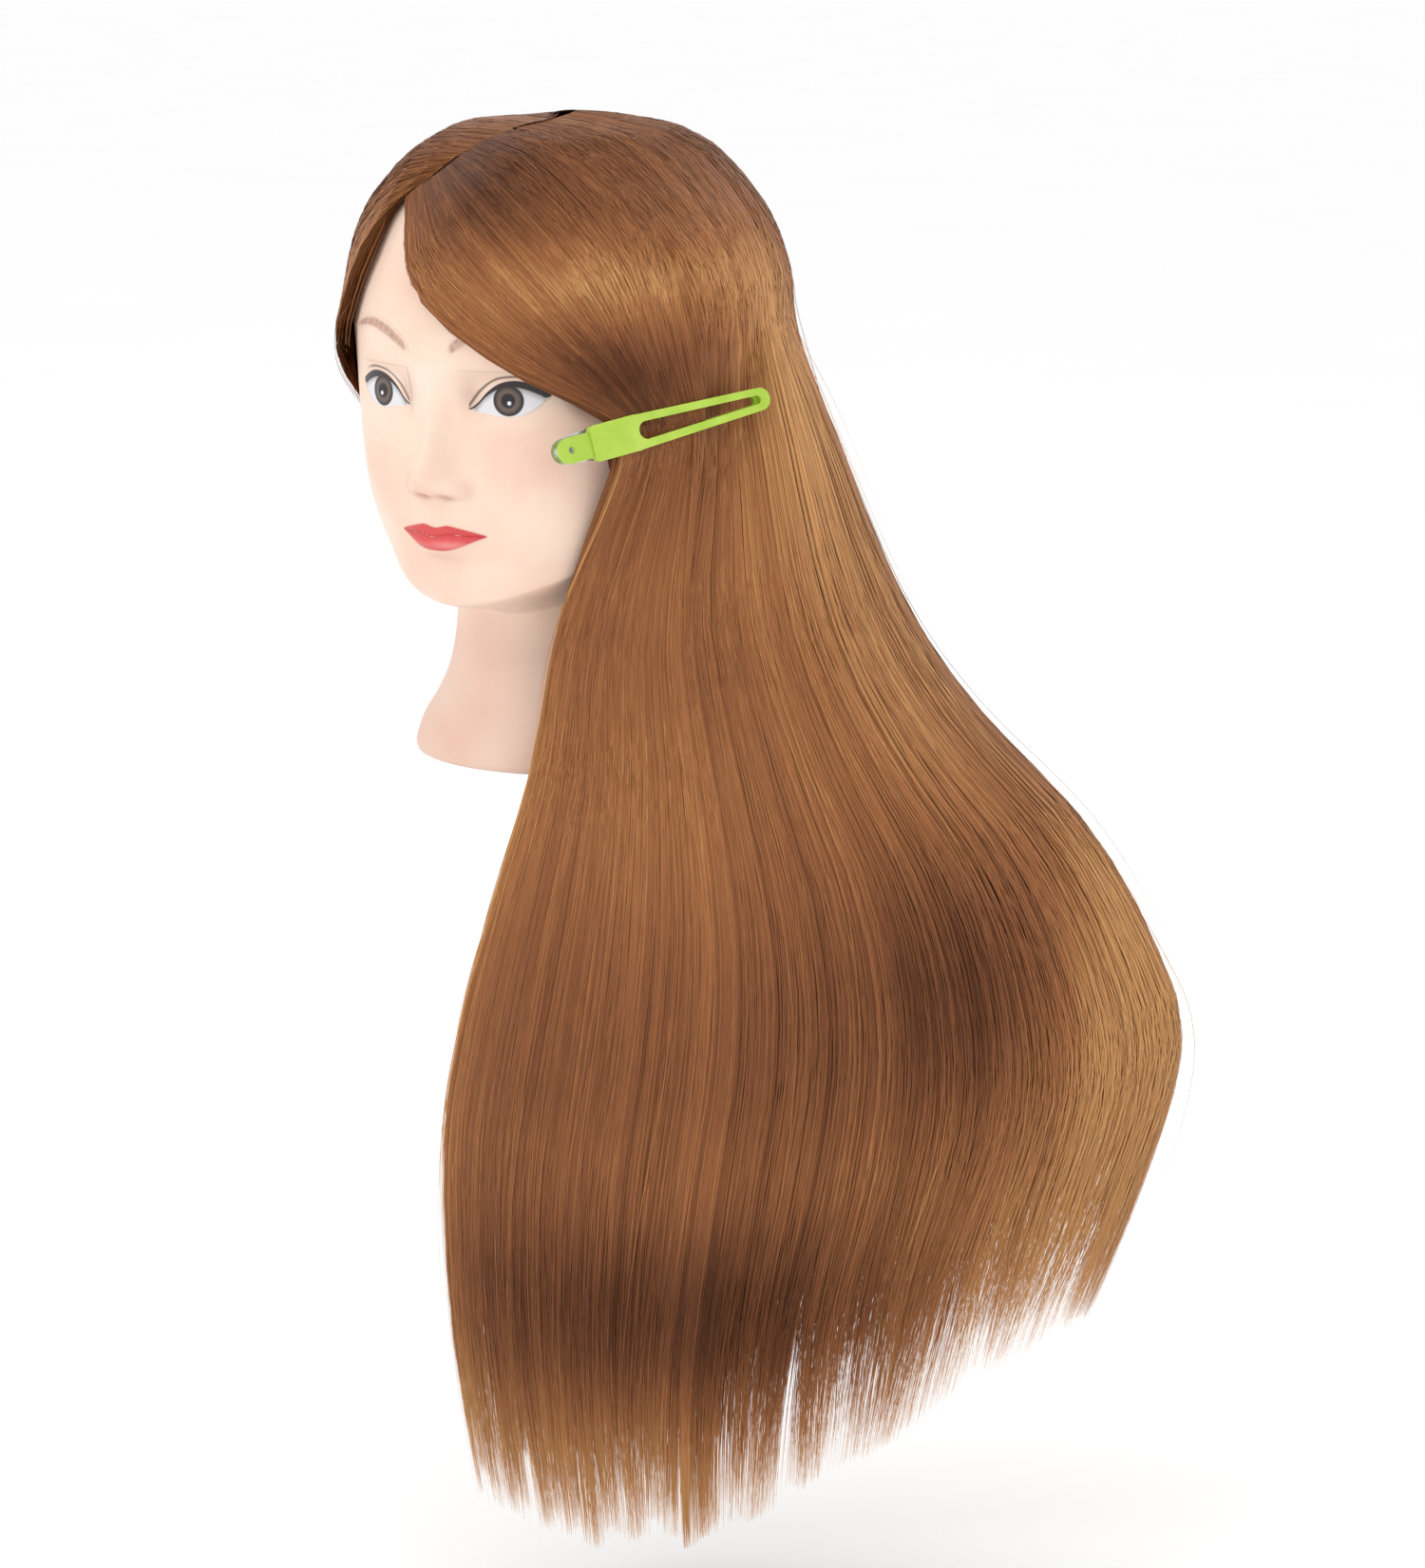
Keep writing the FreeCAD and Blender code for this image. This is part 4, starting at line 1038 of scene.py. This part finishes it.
def strand_kinds(kind, count, first, clumps, last, edges):
    """Random places, half widths and tones of the strands of one kind, between two columns of a layer."""
    share = (np.arange(count) + rng.uniform(0, 1, count)) / count
    rng.shuffle(share)
    centres = np.sort(rng.uniform(-0.05, 1.05, clumps))
    gathers = np.sort(rng.uniform(0.0, 1.0, 3))
    tuft = np.abs(share[:, None] - centres[None, :]).argmin(1)
    middle = gathers[np.abs(centres[:, None] - gathers[None, :]).argmin(1)]
    tuft_short, tuft_pull = rng.uniform(0.0, 0.5, clumps), rng.uniform(0.6, 1.0, clumps)
    bands = clumps * 3
    tuft_tone = rng.normal(0, 0.04, bands)[np.clip((share * bands).astype(int), 0, bands - 1)]
    low, high = edges
    strands = {
        "column": first - low + share * (1 + low + high),
        "clump": first + 0.5 * centres[tuft] + 0.5 * middle[tuft],
        "proud": np.zeros(count),
        "fray": rng.normal(0, 0.04, count),
    }
    if kind == "body":
        strands.update(
            depth=rng.uniform(0.6, 0.95, count), half=rng.uniform(1.6, 2.2, count),
            start=np.full(count, -0.04),
            stop=last - 0.5 - 0.6 * tuft_short[tuft] - rng.uniform(0.0, 0.4, count),
            wander=np.full(count, 0.004), pull=np.full(count, 0.35),
            tone=rng.normal(0.40, 0.03, count), roll=rng.normal(0, 0.05, count),
            taper=rng.uniform(0.6, 0.75, count), root=0.5)
    elif kind == "lock":
        late = rng.uniform(size=count) < 0.3
        strands.update(
            depth=rng.uniform(0.3, 0.8, count), half=rng.uniform(0.4, 0.75, count),
            start=np.where(late, rng.uniform(0, 1.2, count), rng.uniform(-0.08, 0.05, count)),
            stop=last - 0.6 * tuft_short[tuft] - rng.exponential(0.25, count),
            wander=rng.uniform(0.0, 0.012, count), pull=rng.uniform(0.5, 0.95, count) * tuft_pull[tuft],
            tone=rng.normal(0.45, 0.04, count), roll=rng.normal(0, 0.12, count),
            taper=rng.uniform(0.55, 0.85, count), root=0.4)
    else:
        late = rng.uniform(size=count) < 0.3
        strands.update(
            depth=rng.uniform(0.0, 0.35, count) ** 1.2, half=rng.uniform(0.15, 0.3, count),
            start=np.where(late, rng.uniform(0, 1.6, count), rng.uniform(-0.1, 0.06, count)),
            stop=last - 0.6 * tuft_short[tuft] - rng.exponential(0.22, count),
            wander=rng.uniform(0.002, 0.03, count), pull=rng.uniform(0.3, 1.0, count) * tuft_pull[tuft],
            tone=rng.normal(0.5, 0.06, count), roll=rng.normal(0, 0.22, count),
            taper=rng.uniform(0.5, 0.85, count), root=0.5)
    strands["tone"] = strands["tone"] + tuft_tone
    strands["stop"] = np.minimum(np.maximum(strands["stop"], strands["start"] + 2.0), last)
    return strands


def hair_piece(name, parts, material):
    """One mesh from the strands of several kinds."""
    base, all_quads = 0, []
    for points, _, quads, _ in parts:
        all_quads.append(quads + base)
        base += len(points)
    points, normals, tone = [np.concatenate([part[i] for part in parts]) for i in (0, 1, 3)]
    return mesh_piece(name, points, np.concatenate(all_quads), material, slot="hair", normals=normals,
                      tone=np.clip(tone, 0, 1))


def grow(layer, layer_name, strands, steps):
    lines, outward, rows, c = strand_lines(layer, strands, steps)
    lines = clear_of_head(lines, CLEAR_OF_SKIN)
    if layer_name in ("fringe", "join"):
        lines = held_by_clip(lines)
    points, normals, quads = strand_mesh(lines, outward, strands["half"], strands["roll"], strands["taper"],
                                         strands["root"])
    tone = np.repeat(tones(layer_name, lines, rows, c, strands["tone"])[..., None], 2, -1)
    return points, normals, quads, tone.ravel()


def hair_section(name, layer, layer_name, first, edges, counts, material):
    """One lock of hair: wide inner ribbons for body, narrower ones over them and fine hair outside."""
    parts = []
    for kind, count in counts:
        strands = strand_kinds(kind, count, first, CLUMPS, layer.last_row, edges)
        parts.append(grow(layer, layer_name, strands, STRAND_STEPS))
    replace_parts(hair_piece("hair_" + name, parts, material), name)


def stray_hair(layer, layer_name, middle, spread, count):
    """Fine loose hair that stands a little off a layer."""
    start = rng.uniform(2.0, 7.5, count)
    column = np.clip(rng.normal(middle, spread, count), 0.0, layer.last_column)
    strands = {
        "column": column, "clump": column, "fray": np.zeros(count), "depth": rng.uniform(0, 0.2, count),
        "half": rng.uniform(0.11, 0.16, count), "start": start,
        "proud": rng.exponential(2.2, count).clip(0.2, 8.0),
        "stop": np.minimum(start + rng.uniform(2.0, 6.0, count), layer.last_row),
        "wander": rng.uniform(0.01, 0.07, count), "pull": rng.uniform(0.0, 0.3, count),
        "tone": rng.normal(0.62, 0.08, count), "roll": rng.normal(0, 0.3, count),
        "taper": rng.uniform(0.3, 0.6, count), "root": 0.4,
    }
    return grow(layer, layer_name, strands, STRAY_STEPS)


def make_hair(material):
    layers = [
        (FRINGE, fringe_depths, "fringe", FRINGE_NODES, [("body", 40), ("lock", 190), ("hair", 900)]),
        (UNDER_FRINGE, under_depths, "under", UNDER_NODES, [("body", 34), ("lock", 120), ("hair", 240)]),
        (REST, rest_depths, "rest", REST_NODES, [("body", 46), ("lock", 210), ("hair", 900)]),
    ]
    # loose hair of each layer: its middle column, its spread and its count
    loose = {"fringe": [(0.0, 0.5, 60), (1.5, 1.0, 40)], "under": [],
             "rest": [(3.0, 0.9, 130), (7.0, 2.0, 60), (10.0, 0.6, 40)]}
    stray = []
    for guides, depths, layer_name, nodes, counts in layers:
        layer = Layer(np.array([guide_points(guide) for guide in guides]), depths)
        for index, node in enumerate(nodes):
            edges = 0.0 if index == 0 else 0.02, 0.02 if index < len(nodes) - 1 else 0.0
            hair_section(node, layer, layer_name, float(index), edges, counts, material)
        stray += [stray_hair(layer, layer_name, *places) for places in loose[layer_name]]
    hair_piece("hair_stray", stray, material)
    # hair between the last lock of the fringe and the first one behind it
    before, last = [guide_points(guide) for guide in FRINGE[-2:]]
    first, after = [np.delete(guide_points(guide), LEAVING_ROW, axis=0) for guide in REST[:2]]
    spread = np.array(JOIN_SPREADS + [JOIN_HANGING_SPREAD] * len(FALL_SHARES))[:, None]
    lines = [last + (before - last) * spread, last, first, first + (after - first) * spread]
    layer = Layer(np.array(lines), join_depths)
    join = [grow(layer, "join", strand_kinds(kind, count, 1.0, JOIN_CLUMPS, layer.last_row, (0.3, 0.3)),
                 STRAND_STEPS)
            for kind, count in (("body", 44), ("lock", 130), ("hair", 520))]
    hair_piece("hair_join", join, material)


# ================================================================ build
def finish_nodes(materials):
    for node, material in materials.items():
        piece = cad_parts[node]
        piece.data.materials.clear()
        piece.data.materials.append(material)


FLOOR_SIZE, FLOOR_HEIGHT = 60.0, -0.352
LIT_PLACE = Vector((0.03, 0.0, 0.0))
CAMERA_RISE = math.radians(12.0)
CAMERA_TARGET, CAMERA_AWAY = Vector((0.044, 0.030, -0.016)), 1.7


def make_stage():
    mesh = bpy.data.meshes.new("floor")
    corners = [(FLOOR_SIZE * x, FLOOR_SIZE * y, FLOOR_HEIGHT)
               for x, y in ((-1, -1), (1, -1), (1, 1), (-1, 1))]
    mesh.from_pydata(corners, [], [(0, 1, 2, 3)])
    mesh.materials.append(stage_material())
    new_object("floor", mesh)
    world = bpy.data.worlds.new("studio")
    bpy.context.scene.world = world
    world.use_nodes = True
    background = world.node_tree.nodes["Background"].inputs
    background["Color"].default_value = (1.0, 1.0, 1.0, 1.0)
    background["Strength"].default_value = 1.0
    lights = [
        ("key", (-1.1, -1.9, 1.9), 1.2, 11.0),
        ("fill", (2.0, -1.5, 1.0), 1.8, 4.0),
        ("rim", (0.8, 1.9, 1.6), 1.2, 8.0),
    ]
    for name, place, size, power in lights:
        light = bpy.data.lights.new(name, "AREA")
        light.shape, light.size, light.energy = "DISK", size, power
        lamp = new_object(name, light)
        lamp.location = place
        lamp.rotation_mode = "QUATERNION"
        lamp.rotation_quaternion = (LIT_PLACE - Vector(place)).to_track_quat("-Z", "Y")


def make_camera():
    turn, rise = FAN_TURN, CAMERA_RISE
    back = Vector((math.sin(turn) * math.cos(rise), -math.cos(turn) * math.cos(rise), math.sin(rise)))
    camera = bpy.data.cameras.new("camera")
    camera.lens, camera.sensor_width, camera.clip_start = 100.15, 36.0, 0.05
    viewer = new_object("camera", camera)
    viewer.rotation_mode = "QUATERNION"
    viewer.rotation_quaternion = (-back).to_track_quat("-Z", "Y")
    viewer.location = CAMERA_TARGET + back * CAMERA_AWAY
    bpy.context.scene.camera = viewer


bpy.context.scene.view_settings.view_transform = "Standard"
make_camera()
make_stage()
lime, steel = plastic_material(), steel_material()
finish_nodes({
    "foam_core": foam_material(), "clamp_socket": socket_material(),
    "clip_upper_jaw": lime, "clip_upper_lever": lime, "clip_lower_jaw": lime,
    "clip_upper_bracket": steel, "clip_lower_lever": steel, "clip_hinge_pin": steel,
    "clip_spring": steel, "clip_spring_leg": steel,
})
make_head(skin_material())
make_paint()
make_hair(hair_material())
